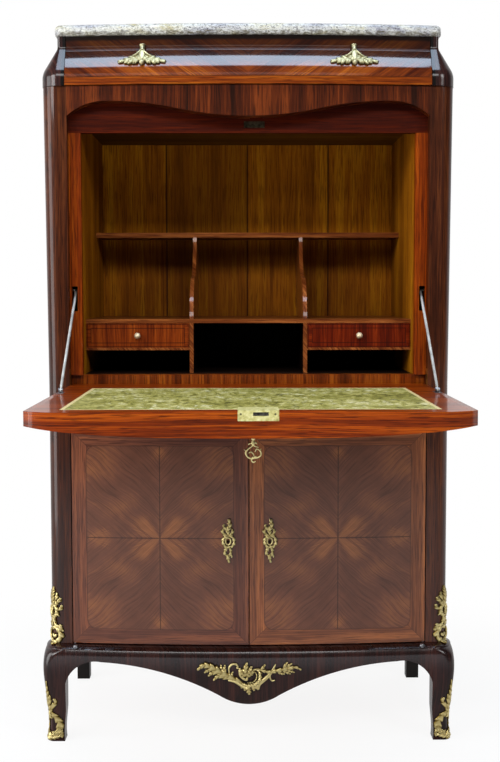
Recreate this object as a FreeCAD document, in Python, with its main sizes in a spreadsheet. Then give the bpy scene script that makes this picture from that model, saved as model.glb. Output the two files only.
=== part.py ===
import FreeCAD, Part
import os

import Sketcher
from FreeCAD import Placement, Rotation, Vector

# Fall-front secretaire: X runs across, the front faces -Y, Z is up, in millimetres.
# Depths are counted from the case front, the straight line between the two front posts.
SIZES = {
    # Case
    "total_height": 1450,
    "case_width": 812,
    "case_depth": 440,
    "post_width": 45,
    "post_depth": 43,
    "post_flare": 5,
    "bow_depth": 21,
    "corner_radius": 30,
    "side_thick": 22,
    "stile_width": 29,
    "back_thick": 10,
    "back_board_gap": 0.6,
    "back_tongue": 5,
    "back_base": 150,
    "apron_top": 202,
    "bottom_thick": 18,
    # Marble
    "marble_thick": 23,
    "marble_overhang": 5.5,
    "marble_corner": 15,
    "marble_nose": 9,
    "marble_foot": 5,
    # Frieze and its drawer
    "frieze_height": 101,
    "frieze_swell": 6,
    "ogee_reach": 30.5,
    "ogee_neck": 20,
    "ogee_foot": 16,
    "ogee_round_share": 0.57,
    "ogee_cove_share": 0.22,
    "top_board_thick": 18,
    "dust_board_thick": 14,
    "drawer_gap": 1,
    "drawer_front_setback": 3,
    "drawer_side_thick": 12,
    "drawer_bottom_thick": 7,
    "drawer_headroom": 8,
    "drawer_back_gap": 30,
    "guide_width": 7,
    "guide_height": 20,
    "pull_place": 210,
    "pull_length": 92,
    "pull_height": 42,
    "pull_thick": 9,
    # Serpentine rail over the fall-front
    "rail_corner_drop": 58,
    "rail_hump_drop": 30,
    "rail_centre_drop": 61,
    "rail_hump_inset": 76,
    "stop_drop": 89,
    "stop_thick": 18,
    "strike_width": 42,
    "strike_height": 13,
    "strike_thick": 2,
    # Fall-front
    "writing_height": 731,
    "flap_thick": 24,
    "flap_gap": 1,
    "hinge_inset": 5,
    "pivot_radius": 3,
    "pivot_reach": 14,
    "pivot_plate_length": 60,
    "pivot_plate_width": 18,
    "pivot_plate_thick": 2.5,
    "run_clear": 0.05,
    "swing_clear": 0.6,
    "leather_side": 54,
    "leather_front": 16,
    "leather_back": 111,
    "leather_thick": 1.5,
    "lock_place": 12,
    "lock_width": 66,
    "lock_depth": 60,
    "lock_plate_thick": 2.5,
    "lock_case_thick": 14,
    "lock_case_margin": 5,
    "selvage_height": 17,
    "bolt_offset": 4,
    "bolt_width": 24,
    "bolt_thick": 5,
    "bolt_length": 22,
    "bolt_clear": 0.4,
    "key_offset": 8,
    "key_setback": 36,
    "key_shank_radius": 2.6,
    "key_drop": 44,
    "key_bow_radius": 14,
    "key_bow_wire": 2.4,
    "key_bit_length": 8,
    "key_bit_height": 6,
    "key_bit_thick": 2.4,
    # Stays of the fall-front
    "stay_inset": 9,
    "stay_reach": 193,
    "stay_lift": 5,
    "stay_radius": 2.6,
    "stay_tail": 28,
    "stay_eye_radius": 4,
    "stay_eye_thick": 3,
    "stay_pin_radius": 1.5,
    "stay_lug_thick": 2.2,
    "stay_side_clear": 0.4,
    "stay_cross_reach": 8,
    "stay_plate_length": 42,
    "stay_plate_width": 14,
    "stay_plate_thick": 2,
    "slot_width": 12,
    "slot_height": 50,
    # Writing interior
    "rebate_stile_width": 24,
    "ceiling_drop": 67,
    "ceiling_thick": 10,
    "lining_thick": 9,
    "floor_rise": 19,
    "floor_thick": 18,
    "floor_rail_depth": 22,
    "shelf_below_middle": 10.5,
    "shelf_thick": 11,
    "shelf_setback": 265,
    "nest_rise": 112,
    "nest_thick": 8,
    "nest_setback": 55,
    "nest_place": 118,
    "nest_divider_thick": 8,
    "runner_rise": 53,
    "runner_thick": 5,
    "small_gap": 0.8,
    "small_front_thick": 14,
    "small_wall": 6,
    "small_back_gap": 36,
    "knob_radius": 6.5,
    "knob_reach": 16,
    "knob_neck": 3,
    # Cupboard
    "mid_rail_height": 44,
    "mid_rail_depth": 60,
    "door_thick": 20,
    "door_gap": 2,
    "door_pivot_inset": 3.2,
    "door_pin_radius": 2,
    "door_pin_reach": 10,
    "cupboard_shelf_top": 430,
    "cupboard_shelf_thick": 15,
    "cupboard_shelf_setback": 60,
    "escutcheon_place": 41,
    "escutcheon_height": 416,
    "escutcheon_length": 86,
    "escutcheon_width": 27,
    "escutcheon_thick": 3,
    "keyhole_radius": 3,
    "door_lock_width": 64,
    "door_lock_height": 62,
    "door_lock_thick": 13,
    "door_bolt_length": 30,
    "door_bolt_height": 16,
    "door_bolt_thick": 5,
    "door_bolt_throw": 8,
    # Apron, legs and mounts
    "apron_swell": 13,
    "apron_round": 10,
    "apron_back": 12,
    "apron_end_drop": 80,
    "apron_crest_drop": 34,
    "apron_crest_inset": 74,
    "apron_shoulder_drop": 99,
    "apron_shoulder_place": 61,
    "apron_centre_drop": 117,
    "side_apron_height": 38,
    "side_apron_rise": 14,
    "leg_join": 31,
    "knee_drop": 37,
    "knee_bulge": 16,
    "knee_width": 53,
    "calf_height": 110,
    "calf_bulge": 12,
    "calf_width": 44,
    "ankle_height": 42,
    "ankle_bulge": 3,
    "ankle_width": 32,
    "foot_bulge": 7.5,
    "foot_width": 36,
    "sabot_height": 58,
    "sabot_leaf_height": 124,
    "sabot_width": 42,
    "sabot_thick": 2.5,
    "chute_height": 116,
    "chute_width": 44,
    "chute_thick": 5,
    "apron_mount_half": 108,
    "apron_mount_drop": 30,
    "apron_mount_height": 68,
    "apron_mount_thick": 7,
}
SIDES = (("left", -1), ("right", 1))
LEAN = {"X": Rotation(Vector(0, 1, 0), 90), "Y": Rotation(Vector(1, 0, 0), -90), "Z": Rotation()}
HALF_ROOT = 0.5 ** 0.5
HALF_ROOT_THREE = 0.75 ** 0.5
BACK_BOARDS = 4

doc = FreeCAD.newDocument("secretaire")
sheet = doc.addObject("Spreadsheet::Sheet", "sizes")
nodes = []


class Formula:
    """A size: its number now, and the sheet expression that keeps it up to date."""

    def __init__(self, number, text):
        self.number = number
        self.text = text

    def __add__(self, other):
        other = formula(other)
        return Formula(self.number + other.number, f"({self.text} + {other.text})")

    def __sub__(self, other):
        other = formula(other)
        return Formula(self.number - other.number, f"({self.text} - {other.text})")

    def __mul__(self, other):
        other = formula(other)
        return Formula(self.number * other.number, f"({self.text} * {other.text})")

    def __truediv__(self, other):
        other = formula(other)
        return Formula(self.number / other.number, f"({self.text} / {other.text})")

    def __neg__(self):
        return Formula(-self.number, f"(-{self.text})")

    def __rsub__(self, other):
        return formula(other) - self

    __radd__ = __add__
    __rmul__ = __mul__

    def root(self):
        return Formula(self.number ** 0.5, f"sqrt({self.text})")

    def least(self, other):
        """The smaller of two sizes."""
        apart = self - other
        return (self + other - (apart * apart).root()) / 2


def formula(value):
    if isinstance(value, Formula):
        return value
    return Formula(float(value), f"({value})")


class Dimensions:
    """The driving dimensions, each bound to its cell of the sheet."""

    def __init__(self, numbers):
        for row, (alias, number) in enumerate(numbers.items(), start=1):
            sheet.set(f"A{row}", alias)
            sheet.set(f"B{row}", str(number))
            sheet.setAlias(f"B{row}", alias)
            setattr(self, alias, Formula(float(number), f"sizes.{alias}"))


d = Dimensions(SIZES)
doc.recompute()

# Levels and places that follow from the driving dimensions
half_case = d.case_width / 2
half_opening = half_case - d.post_width
half_interior = half_opening - d.rebate_stile_width
side_inner = half_case - d.side_thick
back_inner = d.case_depth - d.back_thick
bow_radius = (half_opening * half_opening + d.bow_depth * d.bow_depth) / (2 * d.bow_depth)
bow_centre = bow_radius - d.bow_depth
marble_base = d.total_height - d.marble_thick
frieze_base = marble_base - d.frieze_height
frieze_half = half_case + d.frieze_swell
frieze_inner = half_opening - d.drawer_gap
drawer_half = half_opening + d.drawer_gap * 3
drawer_front_thick = d.post_depth - d.drawer_front_setback
hinge_z = d.writing_height - d.flap_thick + d.hinge_inset
bolt_place = d.lock_place + d.bolt_offset
key_place = d.lock_place - d.key_offset
flap_heel = d.hinge_inset + d.bow_depth
flap_base = hinge_z - flap_heel
flap_back = d.hinge_inset + flap_heel
hinge_depth = d.flap_thick - d.hinge_inset
heel_radius = (hinge_depth * hinge_depth + flap_heel * flap_heel).root()
floor_front = d.hinge_inset + heel_radius + d.swing_clear
rebate = d.flap_thick + d.flap_gap
stop_back = rebate + d.stop_thick
interior_floor = d.writing_height + d.floor_rise
interior_top = frieze_base - d.ceiling_drop
nest_top = interior_floor + d.nest_rise
runner_top = interior_floor + d.runner_rise
shelf_top = (nest_top + interior_top) / 2 - d.shelf_below_middle
mid_rail_top = flap_base - d.swing_clear
mid_rail_base = mid_rail_top - d.mid_rail_height
shelf_front = rebate + d.shelf_setback
nest_front = rebate + d.nest_setback
door_base = d.apron_top + d.door_gap
door_top = mid_rail_base - d.door_gap
door_outer = half_opening - d.door_gap
door_axis = door_outer - d.door_pivot_inset
rail_hump = frieze_base - d.rail_hump_drop
flap_reach = rail_hump - d.flap_gap - hinge_z - d.hinge_inset
front = (flap_reach - d.case_depth) / 2
hump_place = half_opening - d.rail_hump_inset
stay_place = half_opening - d.stay_inset
apron_join = half_case - d.leg_join
apron_radius = bow_radius + d.apron_swell
apron_face = (apron_radius * apron_radius - apron_join * apron_join).root() - bow_centre
crest_place = apron_join - d.apron_crest_inset
apron_crest = d.apron_top - d.apron_crest_drop
apron_end = d.apron_top - d.apron_end_drop
apron_shoulder = d.apron_top - d.apron_shoulder_drop


def bind(item, path, value):
    item.setExpression(path, formula(value).text)


def seat(item, x, y, z):
    """Put an item's origin at a point, with depth counted from the case front."""
    for axis, value in (("x", x), ("y", front + y), ("z", z)):
        bind(item, f"Placement.Base.{axis}", value)


def span(sign, low, high):
    """Limits across the case on the right side, or mirrored to the left."""
    return (low, high) if sign > 0 else (-formula(high), -formula(low))


def about(centre, half):
    """Limits at equal distances on both sides of a place."""
    return centre - half, centre + half


def block(name, x, y, z):
    """A board between its limits along X, Y and Z."""
    box = doc.addObject("Part::Box", name)
    for side, (low, high) in zip(("Length", "Width", "Height"), (x, y, z)):
        bind(box, side, formula(high) - low)
    seat(box, x[0], y[0], z[0])
    return box


def bar(name, axis, radius, start, length):
    """A round bar from its start point along X, Y or Z."""
    cylinder = doc.addObject("Part::Cylinder", name)
    cylinder.Placement = Placement(Vector(), LEAN[axis])
    bind(cylinder, "Radius", radius)
    bind(cylinder, "Height", length)
    seat(cylinder, *start)
    return cylinder


def cut(name, base, *tools):
    result = doc.addObject("Part::Cut", name)
    result.Base = base
    result.Tool = tools[0] if len(tools) == 1 else union(f"{name}_tools", *tools)
    return result


def union(name, *pieces):
    result = doc.addObject("Part::MultiFuse", name)
    result.Shapes = list(pieces)
    return result


def overlap(name, base, tool):
    result = doc.addObject("Part::Common", name)
    result.Base = base
    result.Tool = tool
    return result


def group(name, *pieces):
    result = doc.addObject("Part::Compound", name)
    result.Links = list(pieces)
    return result


def node(label, item):
    item.Label = label
    nodes.append(item)
    return item


def pin_point(sketch, geometry, end, point):
    """Hold one end of a sketch edge at a point that follows the sheet."""
    for kind, value in zip(("DistanceX", "DistanceY"), point):
        index = sketch.addConstraint(Sketcher.Constraint(kind, -1, 1, geometry, end, value.number))
        sketch.setExpression(f"Constraints[{index}]", value.text)


def outline(body, plane, points, level=0):
    """A closed sketch: (u, v) ends a line, (u, v, mid_u, mid_v) ends an arc through its middle."""
    sketch = body.newObject("Sketcher::SketchObject", f"{body.Name}_outline")
    support = next(feature for feature in body.Origin.OriginFeatures if feature.Role == plane)
    sketch.AttachmentSupport = [(support, "")]
    sketch.MapMode = "FlatFace"
    bind(sketch, "AttachmentOffset.Base.z", level)
    points = [tuple(formula(value) for value in point) for point in points]
    edges = []
    for before, point in zip(points[-1:] + points[:-1], points):
        start = Vector(before[0].number, before[1].number)
        end = Vector(point[0].number, point[1].number)
        if len(point) == 2:
            edge = Part.LineSegment(start, end)
        else:
            edge = Part.ArcOfCircle(start, Vector(point[2].number, point[3].number), end)
        index = sketch.addGeometry(edge)
        gaps = [(sketch.getPoint(index, place) - end).Length for place in (1, 2)]
        edges.append((index, 1 if gaps[0] < gaps[1] else 2))
    for (index, last), (follower, follower_last), point in zip(edges, edges[1:] + edges[:1], points):
        sketch.addConstraint(Sketcher.Constraint("Coincident", index, last, follower, 3 - follower_last))
        pin_point(sketch, index, last, point[:2])
        if len(point) == 4:
            middle = sketch.addGeometry(Part.Point(Vector(point[2].number, point[3].number)), True)
            sketch.addConstraint(Sketcher.Constraint("PointOnObject", middle, 1, index))
            pin_point(sketch, middle, 1, point[2:])
    return sketch


def new_body(name, x=0, y=0, z=0):
    body = doc.addObject("PartDesign::Body", name)
    seat(body, x, y, z)
    return body


def feature(body, kind, name):
    item = body.newObject(f"PartDesign::{kind}", name)
    body.Tip = item
    return item


def slab(name, plane, points, low, high):
    """A straight-sided piece: an outline padded between two levels square to its plane."""
    body = new_body(name)
    level = -formula(high) if plane == "XZ_Plane" else low
    pad_profile = outline(body, plane, points, level)
    pad = feature(body, "Pad", f"{name}_pad")
    pad.Profile = pad_profile
    bind(pad, "Length", formula(high) - low)
    return body


def turned(name, plane, axis, points, place, degrees=360, middle=False, backwards=False):
    """A piece turned about an axis of its sketch, which passes through a place."""
    body = new_body(name, *place)
    profile = outline(body, plane, points)
    revolution = feature(body, "Revolution", f"{name}_turn")
    revolution.Profile = profile
    revolution.ReferenceAxis = (profile, [axis])
    revolution.Angle = degrees
    revolution.Midplane = middle
    revolution.Reversed = backwards
    return body


def lofted(name, sections):
    """A piece that runs smoothly through level outlines, each given with its height."""
    body = new_body(name)
    sketches = [outline(body, "XY_Plane", points, level) for points, level in sections]
    loft = feature(body, "AdditiveLoft", f"{name}_loft")
    loft.Profile = sketches[0]
    loft.Sections = sketches[1:]
    return body


def upright_bow(name, offset):
    """A tall round column whose front is the bow of the case, grown by an offset."""
    return bar(name, "Z", bow_radius + offset, (0, bow_centre, 0), d.total_height)


def arc_sag(run, rise):
    """Half-way offset of an arc that starts level and rises over a run."""
    radius = (run * run + rise * rise) / (2 * rise)
    return radius - (radius * radius - run * run / 4).root()


def ogee(face, low, high):
    """Points up the frieze moulding: a rounded foot, a straight slope, a cove and an upright neck."""
    foot = frieze_base + d.ogee_foot
    neck = marble_base - d.ogee_neck
    rise = neck - foot
    reach = d.ogee_reach
    round_radius = rise * d.ogee_round_share
    cove_radius = rise * d.ogee_cove_share
    both = round_radius + cove_radius
    slope = (rise * rise + reach * reach - both * reach * 2).root()
    whole = both * both + slope * slope
    sine = (both * rise + slope * (reach - both)) / whole
    cosine = (slope * rise - both * (reach - both)) / whole
    half_sine = ((1 - cosine) / 2).root()
    half_cosine = ((cosine + 1) / 2).root()

    def up_round(across, along):
        return face(round_radius * (1 - across)), foot + round_radius * along

    def down_cove(across, along):
        return face(reach - cove_radius * (1 - across)), neck - cove_radius * along

    return [
        (face(0), low),
        (face(0), foot),
        up_round(cosine, sine) + up_round(half_cosine, half_sine),
        down_cove(cosine, sine),
        (face(reach), neck) + down_cove(half_cosine, half_sine),
        (face(reach), high),
    ]


def serpentine(level, low_point):
    """Left-to-right points of the wavy edge between the fall-front and its rail."""
    corner = level(d.rail_corner_drop)
    hump = level(d.rail_hump_drop)
    dip = level(d.rail_centre_drop)
    shoulder = half_opening - low_point - hump_place
    middle = (hump + dip) / 2
    half_run = hump_place / 2
    end_sag = arc_sag(shoulder, d.rail_corner_drop - d.rail_hump_drop)
    sag = arc_sag(half_run, (d.rail_centre_drop - d.rail_hump_drop) / 2)
    down = 1 if dip.number > hump.number else -1
    end_x = hump_place + shoulder / 2
    points = [
        (-half_opening + low_point, corner),
        (-hump_place, hump, -end_x, hump + end_sag * down),
        (-half_run, middle, -half_run * 1.5, hump + sag * down),
        (half_run, middle, 0, dip),
        (hump_place, hump, half_run * 1.5, hump + sag * down),
        (half_opening - low_point, corner, end_x, hump + end_sag * down),
    ]
    return points


# Marble and frieze

def build_marble():
    half = frieze_half - d.ogee_reach + d.marble_overhang
    turn = d.marble_corner
    radius = bow_radius + d.frieze_swell - d.ogee_reach + d.marble_overhang
    corner_x = half - turn
    corner_y = bow_centre - ((radius - turn) * (radius - turn) - corner_x * corner_x).root()
    stretch = radius / (radius - turn)
    bow_x = corner_x * stretch
    bow_y = bow_centre - (bow_centre - corner_y) * stretch
    lean = turn * HALF_ROOT
    points = [
        (-half, d.case_depth),
        (-half, corner_y),
        (-bow_x, bow_y, -corner_x - lean, corner_y - lean),
        (bow_x, bow_y, 0, bow_centre - radius),
        (half, corner_y, corner_x + lean, corner_y - lean),
        (half, d.case_depth),
    ]
    body = slab("marble_top", "XY_Plane", points, marble_base, d.total_height)
    roundings = (("nose", d.total_height, d.marble_nose), ("foot", marble_base, d.marble_foot))
    for name, level, radius in roundings:
        doc.recompute()
        base = body.Tip
        edges = [
            f"Edge{index}"
            for index, item in enumerate(base.Shape.Edges, start=1)
            if abs(item.BoundBox.ZMin - level.number) < 1e-6
            and abs(item.BoundBox.ZMax - level.number) < 1e-6
            and item.BoundBox.YMin < d.case_depth.number - 1e-3
        ]
        round_edge = feature(body, "Fillet", f"marble_{name}")
        round_edge.Base = (base, edges)
        bind(round_edge, "Radius", radius)
    node("marble_top", body)


def build_frieze():
    turn = d.corner_radius + d.frieze_swell
    block_front = drawer_half + d.drawer_gap
    for side, sign in SIDES:
        name = f"frieze_corner_{side}"
        centre = (frieze_half - turn) * sign
        round_points = ogee(lambda u: (turn - u) * sign, frieze_base, marble_base)
        round_points += [(0, marble_base), (0, frieze_base)]
        quarter = turned(
            f"{name}_round", "XZ_Plane", "V_Axis", round_points,
            (centre, turn - d.frieze_swell, 0), 90, backwards=sign > 0,
        )
        front_points = ogee(lambda u: u - d.frieze_swell, frieze_base, marble_base)
        front_points += [(d.post_depth, marble_base), (d.post_depth, frieze_base)]
        low, high = span(sign, block_front, frieze_half - turn)
        front_run = slab(f"{name}_front", "YZ_Plane", front_points, low, high)
        side_points = ogee(lambda u: (frieze_half - u) * sign, frieze_base, marble_base)
        side_points += [(centre, marble_base), (centre, frieze_base)]
        side_run = slab(f"{name}_side", "XZ_Plane", side_points, turn - d.frieze_swell, d.post_depth)
        node(name, union(name, quarter, front_run, side_run))

        panel = ogee(lambda u: (frieze_half - u) * sign, frieze_base, marble_base)
        panel += [(frieze_inner * sign, marble_base), (frieze_inner * sign, frieze_base)]
        label = f"frieze_side_{side}"
        node(label, slab(label, "XZ_Plane", panel, d.post_depth, d.case_depth))
    top_front = drawer_front_thick + d.drawer_gap * 2
    top_z = (marble_base - d.top_board_thick, marble_base)
    top = block("top_board", (-frieze_inner, frieze_inner), (top_front, back_inner), top_z)
    node("top_board", top)


def build_frieze_drawer():
    low = frieze_base + d.drawer_gap
    high = marble_base - d.drawer_gap
    profile = ogee(lambda u: u - bow_radius - d.frieze_swell, low, high)
    core = bow_centre - drawer_front_thick * 2
    profile += [(-core, high), (-core, low)]
    moulding = turned("drawer_moulding", "YZ_Plane", "V_Axis", profile, (0, bow_centre, 0), 60, middle=True)
    limits = block(
        "drawer_front_limits", (-drawer_half, drawer_half),
        (-drawer_front_thick * 2, drawer_front_thick), (low, high),
    )
    face = overlap("frieze_drawer_front", moulding, limits)
    node("frieze_drawer_front", face)
    build_pulls(face)

    half = frieze_inner - d.guide_width - d.drawer_gap
    wall = d.drawer_side_thick
    box_front = drawer_front_thick
    box_back = back_inner - d.drawer_back_gap
    box_top = marble_base - d.top_board_thick - d.drawer_headroom
    tall = (frieze_base, box_top)
    boards = [
        block(f"drawer_side_{side}", span(sign, half - wall, half), (box_front, box_back), tall)
        for side, sign in SIDES
    ]
    inner = (wall - half, half - wall)
    boards.append(block("drawer_end", inner, (box_back - wall, box_back), tall))
    bottom = (frieze_base + d.drawer_gap, frieze_base + d.drawer_gap + d.drawer_bottom_thick)
    boards.append(block("drawer_bottom", inner, (box_front, box_back - wall), bottom))
    node("frieze_drawer_box", group("frieze_drawer_box", *boards))

    dust_z = (frieze_base - d.dust_board_thick, frieze_base)
    boards = [fitted_board("dust_panel", d.post_depth, dust_z)]
    guide_z = (frieze_base, frieze_base + d.guide_height)
    for side, sign in SIDES:
        guide = span(sign, frieze_inner - d.guide_width, frieze_inner)
        boards.append(block(f"drawer_guide_{side}", guide, (d.post_depth, back_inner), guide_z))
    node("drawer_dust_board", group("drawer_dust_board", *boards))


def build_pulls(face):
    """Two leaf pulls, spread wings with a hanging leaf, seated on the moulded face."""
    level = frieze_base + d.frieze_height * 0.62
    half = d.pull_length / 2
    rise = d.pull_height / 2
    pulls = []
    for side, sign in SIDES:
        centre = d.pull_place * sign
        points = [
            (centre - half * 0.35, level + rise * 0.1, centre - half * 0.7, level + rise * 0.25),
            (centre, level + rise, centre - half * 0.3, level + rise * 0.75),
            (centre + half * 0.35, level + rise * 0.1, centre + half * 0.3, level + rise * 0.75),
            (centre + half, level - rise * 0.45, centre + half * 0.7, level + rise * 0.25),
            (centre + half * 0.3, level - rise * 0.7, centre + half * 0.65, level - rise * 0.85),
            (centre, level - rise, centre + half * 0.18, level - rise * 1.02),
            (centre - half * 0.3, level - rise * 0.7, centre - half * 0.18, level - rise * 1.02),
            (centre - half, level - rise * 0.45, centre - half * 0.65, level - rise * 0.85),
        ]
        front_y = -d.frieze_swell - d.bow_depth - d.pull_thick
        leaf = slab(f"pull_leaf_{side}", "XZ_Plane", points, front_y, drawer_front_thick / 2)
        shell = turned(
            f"pull_shell_{side}", "YZ_Plane", "V_Axis", pull_section(), (0, bow_centre, 0), 60, middle=True,
        )
        pulls.append(cut(f"drawer_pull_{side}", overlap(f"pull_form_{side}", leaf, shell), face))
    node("drawer_pulls", group("drawer_pulls", *pulls))


def pull_section():
    """The moulded face grown outwards by the thickness of a pull."""
    grown = ogee(lambda u: u - bow_radius - d.frieze_swell - d.pull_thick, frieze_base, marble_base)
    core = bow_centre - drawer_front_thick * 2
    return grown + [(-core, marble_base), (-core, frieze_base)]


# Case

def post_section(sign, flare):
    """A post's cross-section with its rounded corner, spread outwards by a flare."""
    turn = d.corner_radius
    inset = turn * (1 - HALF_ROOT)
    outer = (half_case + flare) * sign
    inner = half_opening * sign
    return [
        (inner, 0),
        (outer - turn * sign, 0),
        (outer, turn, outer - inset * sign, inset),
        (outer, d.post_depth),
        (inner, d.post_depth),
    ]


def build_posts():
    """Straight beside the doors, then spread outwards from the writing surface up to the frieze."""
    for side, sign in SIDES:
        straight = slab(
            f"post_foot_{side}", "XY_Plane", post_section(sign, 0), d.apron_top, d.writing_height,
        )
        levels = ((d.writing_height, 0), (frieze_base, d.post_flare))
        spread = lofted(f"post_spread_{side}", [(post_section(sign, flare), z) for z, flare in levels])
        mortise = pivot_plate(f"post_mortise_{side}", sign)
        post = union(f"post_{side}", straight, spread)
        node(f"front_post_{side}", cut(f"front_post_{side}", post, mortise))


def pivot_plate(name, sign):
    """The brass plate let into a post's inner face behind the fall-front's pivot."""
    low = hinge_z - d.pivot_plate_width / 2
    return block(
        name, span(sign, half_opening, half_opening + d.pivot_plate_thick),
        (d.flap_gap, d.flap_gap + d.pivot_plate_width), (low, low + d.pivot_plate_length),
    )


def build_flap_pivots():
    pivots = []
    for side, sign in SIDES:
        plate = pivot_plate(f"pivot_plate_{side}", sign)
        low, high = span(sign, half_opening - d.pivot_reach, half_opening + d.pivot_plate_thick)
        pin = bar(f"pivot_pin_{side}", "X", d.pivot_radius, (low, d.hinge_inset, hinge_z), high - low)
        pivots.append(union(f"flap_pivot_{side}", plate, pin))
    node("flap_pivots", group("flap_pivots", *pivots))


def build_sides():
    for side, sign in SIDES:
        panel_y = (d.post_depth, d.case_depth - d.stile_width)
        panel_x = span(sign, side_inner, half_case)
        label = f"side_panel_{side}"
        node(label, block(label, panel_x, panel_y, (d.apron_top, frieze_base)))
        label = f"rear_stile_{side}"
        node(label, stile_block(label, sign))


def stile_block(name, sign):
    """A rear stile, which runs down to the floor as a back leg."""
    stile_x = span(sign, half_case - d.stile_width, half_case)
    return block(name, stile_x, (d.case_depth - d.stile_width, d.case_depth), (0, frieze_base))


def fitted_board(name, board_front, z):
    """A board between the sides, notched around both rear stiles."""
    blank = block(f"{name}_blank", (-side_inner, side_inner), (board_front, back_inner), z)
    notches = [stile_block(f"{name}_notch_{side}", sign) for side, sign in SIDES]
    return cut(name, blank, *notches)


def back_board(name, index, limits, tall):
    """An upright board, tongued on its right edge and grooved on its left where a board follows."""
    low, high = limits
    board = block(f"{name}_blank", limits, (back_inner, d.case_depth), tall)
    tongue_y = (back_inner + d.back_thick / 3, back_inner + d.back_thick * 2 / 3)
    if index < BACK_BOARDS - 1:
        tongue = block(f"{name}_tongue", (high, high + d.back_tongue), tongue_y, tall)
        board = union(f"{name}_tongued", board, tongue)
    if index > 0:
        room = d.back_board_gap / 2
        groove_y = (tongue_y[0] - room, tongue_y[1] + room)
        groove = block(f"{name}_groove", (low, low + d.back_tongue), groove_y, tall)
        board = cut(name, board, groove)
    return board


def build_back():
    half = half_case - d.stile_width
    pitch = half * 2 / BACK_BOARDS
    tall = (d.back_base, frieze_base)
    boards = []
    for index in range(BACK_BOARDS):
        start = pitch * index - half
        limits = (start + d.back_board_gap / 2, start + pitch - d.back_board_gap / 2)
        boards.append(back_board(f"back_board_{index + 1}", index, limits, tall))
    frieze = (-frieze_inner, frieze_inner)
    boards.append(block("frieze_back", frieze, (back_inner, d.case_depth), (frieze_base, marble_base)))
    node("back_boards", group("back_boards", *boards))


def build_serpentine_rail():
    points = [(half_opening, frieze_base), (-half_opening, frieze_base)]
    points += serpentine(lambda drop: frieze_base - drop, 0)
    rail = slab("rail_blank", "XZ_Plane", points, -d.bow_depth * 2, rebate)
    bowed = overlap("rail_bowed", rail, upright_bow("rail_bow", 0))
    bolt_room = d.bolt_clear * 2
    bolt_y = (rebate - d.flap_gap - lock_bolt_depth() - d.bolt_thick - bolt_room, rebate)
    bolt_half = d.bolt_width / 2 + bolt_room
    rail_edge = frieze_base - d.rail_centre_drop
    bolt_z = (rail_edge - d.bolt_thick, rail_edge + d.bolt_length / 2)
    mortise = block("bolt_mortise", about(bolt_place, bolt_half), bolt_y, bolt_z)
    node("serpentine_rail", cut("serpentine_rail", bowed, mortise))

    stop_z = (frieze_base - d.stop_drop, frieze_base - d.dust_board_thick)
    stop = block("stop_blank", (-half_opening, half_opening), (rebate, stop_back), stop_z)
    strike = strike_block("strike_seat")
    node("stop_board", cut("stop_board", stop, strike))
    node("strike_plate", strike_block("strike_plate"))


def lock_bolt_depth():
    """Depth of the bolt below the fall-front's inner face."""
    return d.lock_plate_thick + d.bolt_clear * 2


def strike_block(name):
    top = frieze_base - d.rail_centre_drop - d.flap_gap * 5
    return block(
        name, about(d.lock_place, d.strike_width / 2), (rebate, rebate + d.strike_thick),
        (top - d.strike_height, top),
    )


def build_interior():
    stiles = []
    linings = []
    for side, sign in SIDES:
        stile = block(
            f"stile_blank_{side}", span(sign, half_interior, half_opening), (rebate, stop_back),
            (interior_floor, frieze_base - d.stop_drop),
        )
        slot_z = hinge_z + d.stay_reach
        slot = block(
            f"stay_slot_{side}", span(sign, stay_place - d.slot_width / 2, stay_place + d.slot_width / 2),
            (rebate - d.stop_thick, stop_back + d.stop_thick),
            (slot_z - d.slot_height / 2, slot_z + d.slot_height / 2),
        )
        stiles.append(cut(f"rebate_stile_{side}", stile, slot))
        lining_x = span(sign, half_interior, half_interior + d.lining_thick)
        lining_z = (interior_floor, interior_top)
        linings.append(block(f"lining_{side}", lining_x, (stop_back, back_inner), lining_z))
    node("rebate_stiles", group("rebate_stiles", *stiles))
    node("interior_linings", group("interior_linings", *linings))

    ceiling_half = half_interior + d.lining_thick
    ceiling_x = (-ceiling_half, ceiling_half)
    ceiling_z = (interior_top, interior_top + d.ceiling_thick)
    node("interior_ceiling", block("interior_ceiling", ceiling_x, (stop_back, back_inner), ceiling_z))
    floor_z = (interior_floor - d.floor_thick, interior_floor)
    rail_back = floor_front + d.floor_rail_depth
    node("interior_floor", fitted_board("interior_floor", rail_back, floor_z))
    rail_x = (-half_opening, half_opening)
    rail_z = (mid_rail_top, interior_floor)
    node("floor_rail", block("floor_rail", rail_x, (floor_front, rail_back), rail_z))
    inside = (-half_interior, half_interior)
    shelf_z = (shelf_top - d.shelf_thick, shelf_top)
    node("upper_shelf", block("upper_shelf", inside, (shelf_front, back_inner), shelf_z))
    nest_z = (nest_top - d.nest_thick, nest_top)
    node("nest_shelf", block("nest_shelf", inside, (nest_front, back_inner), nest_z))
    build_partitions()
    build_nest()


def build_partitions():
    """Two scalloped partitions whose front edges run down in an S from the shelf to the nest."""
    half = d.nest_divider_thick / 2
    top = shelf_top - d.shelf_thick
    run = (shelf_front - nest_front) / 2
    rise = (top - nest_top) / 2
    middle_y = nest_front + run
    middle_z = nest_top + rise
    chord = (run * run + rise * rise).root()
    # Each half of the S is an arc that ends level or upright, whichever bends it less
    sag = ((chord - run) / (rise * 2)).least((chord - rise) / (run * 2))
    along_y = rise * sag
    along_z = run * sag
    points = [
        (back_inner, nest_top),
        (back_inner, top),
        (shelf_front, top),
        (middle_y, middle_z, middle_y + run / 2 + along_y, middle_z + rise / 2 - along_z),
        (nest_front, nest_top, nest_front + run / 2 - along_y, nest_top + rise / 2 + along_z),
    ]
    for side, sign in SIDES:
        low, high = span(sign, d.nest_place - half, d.nest_place + half)
        label = f"partition_{side}"
        node(label, slab(label, "YZ_Plane", points, low, high))


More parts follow.
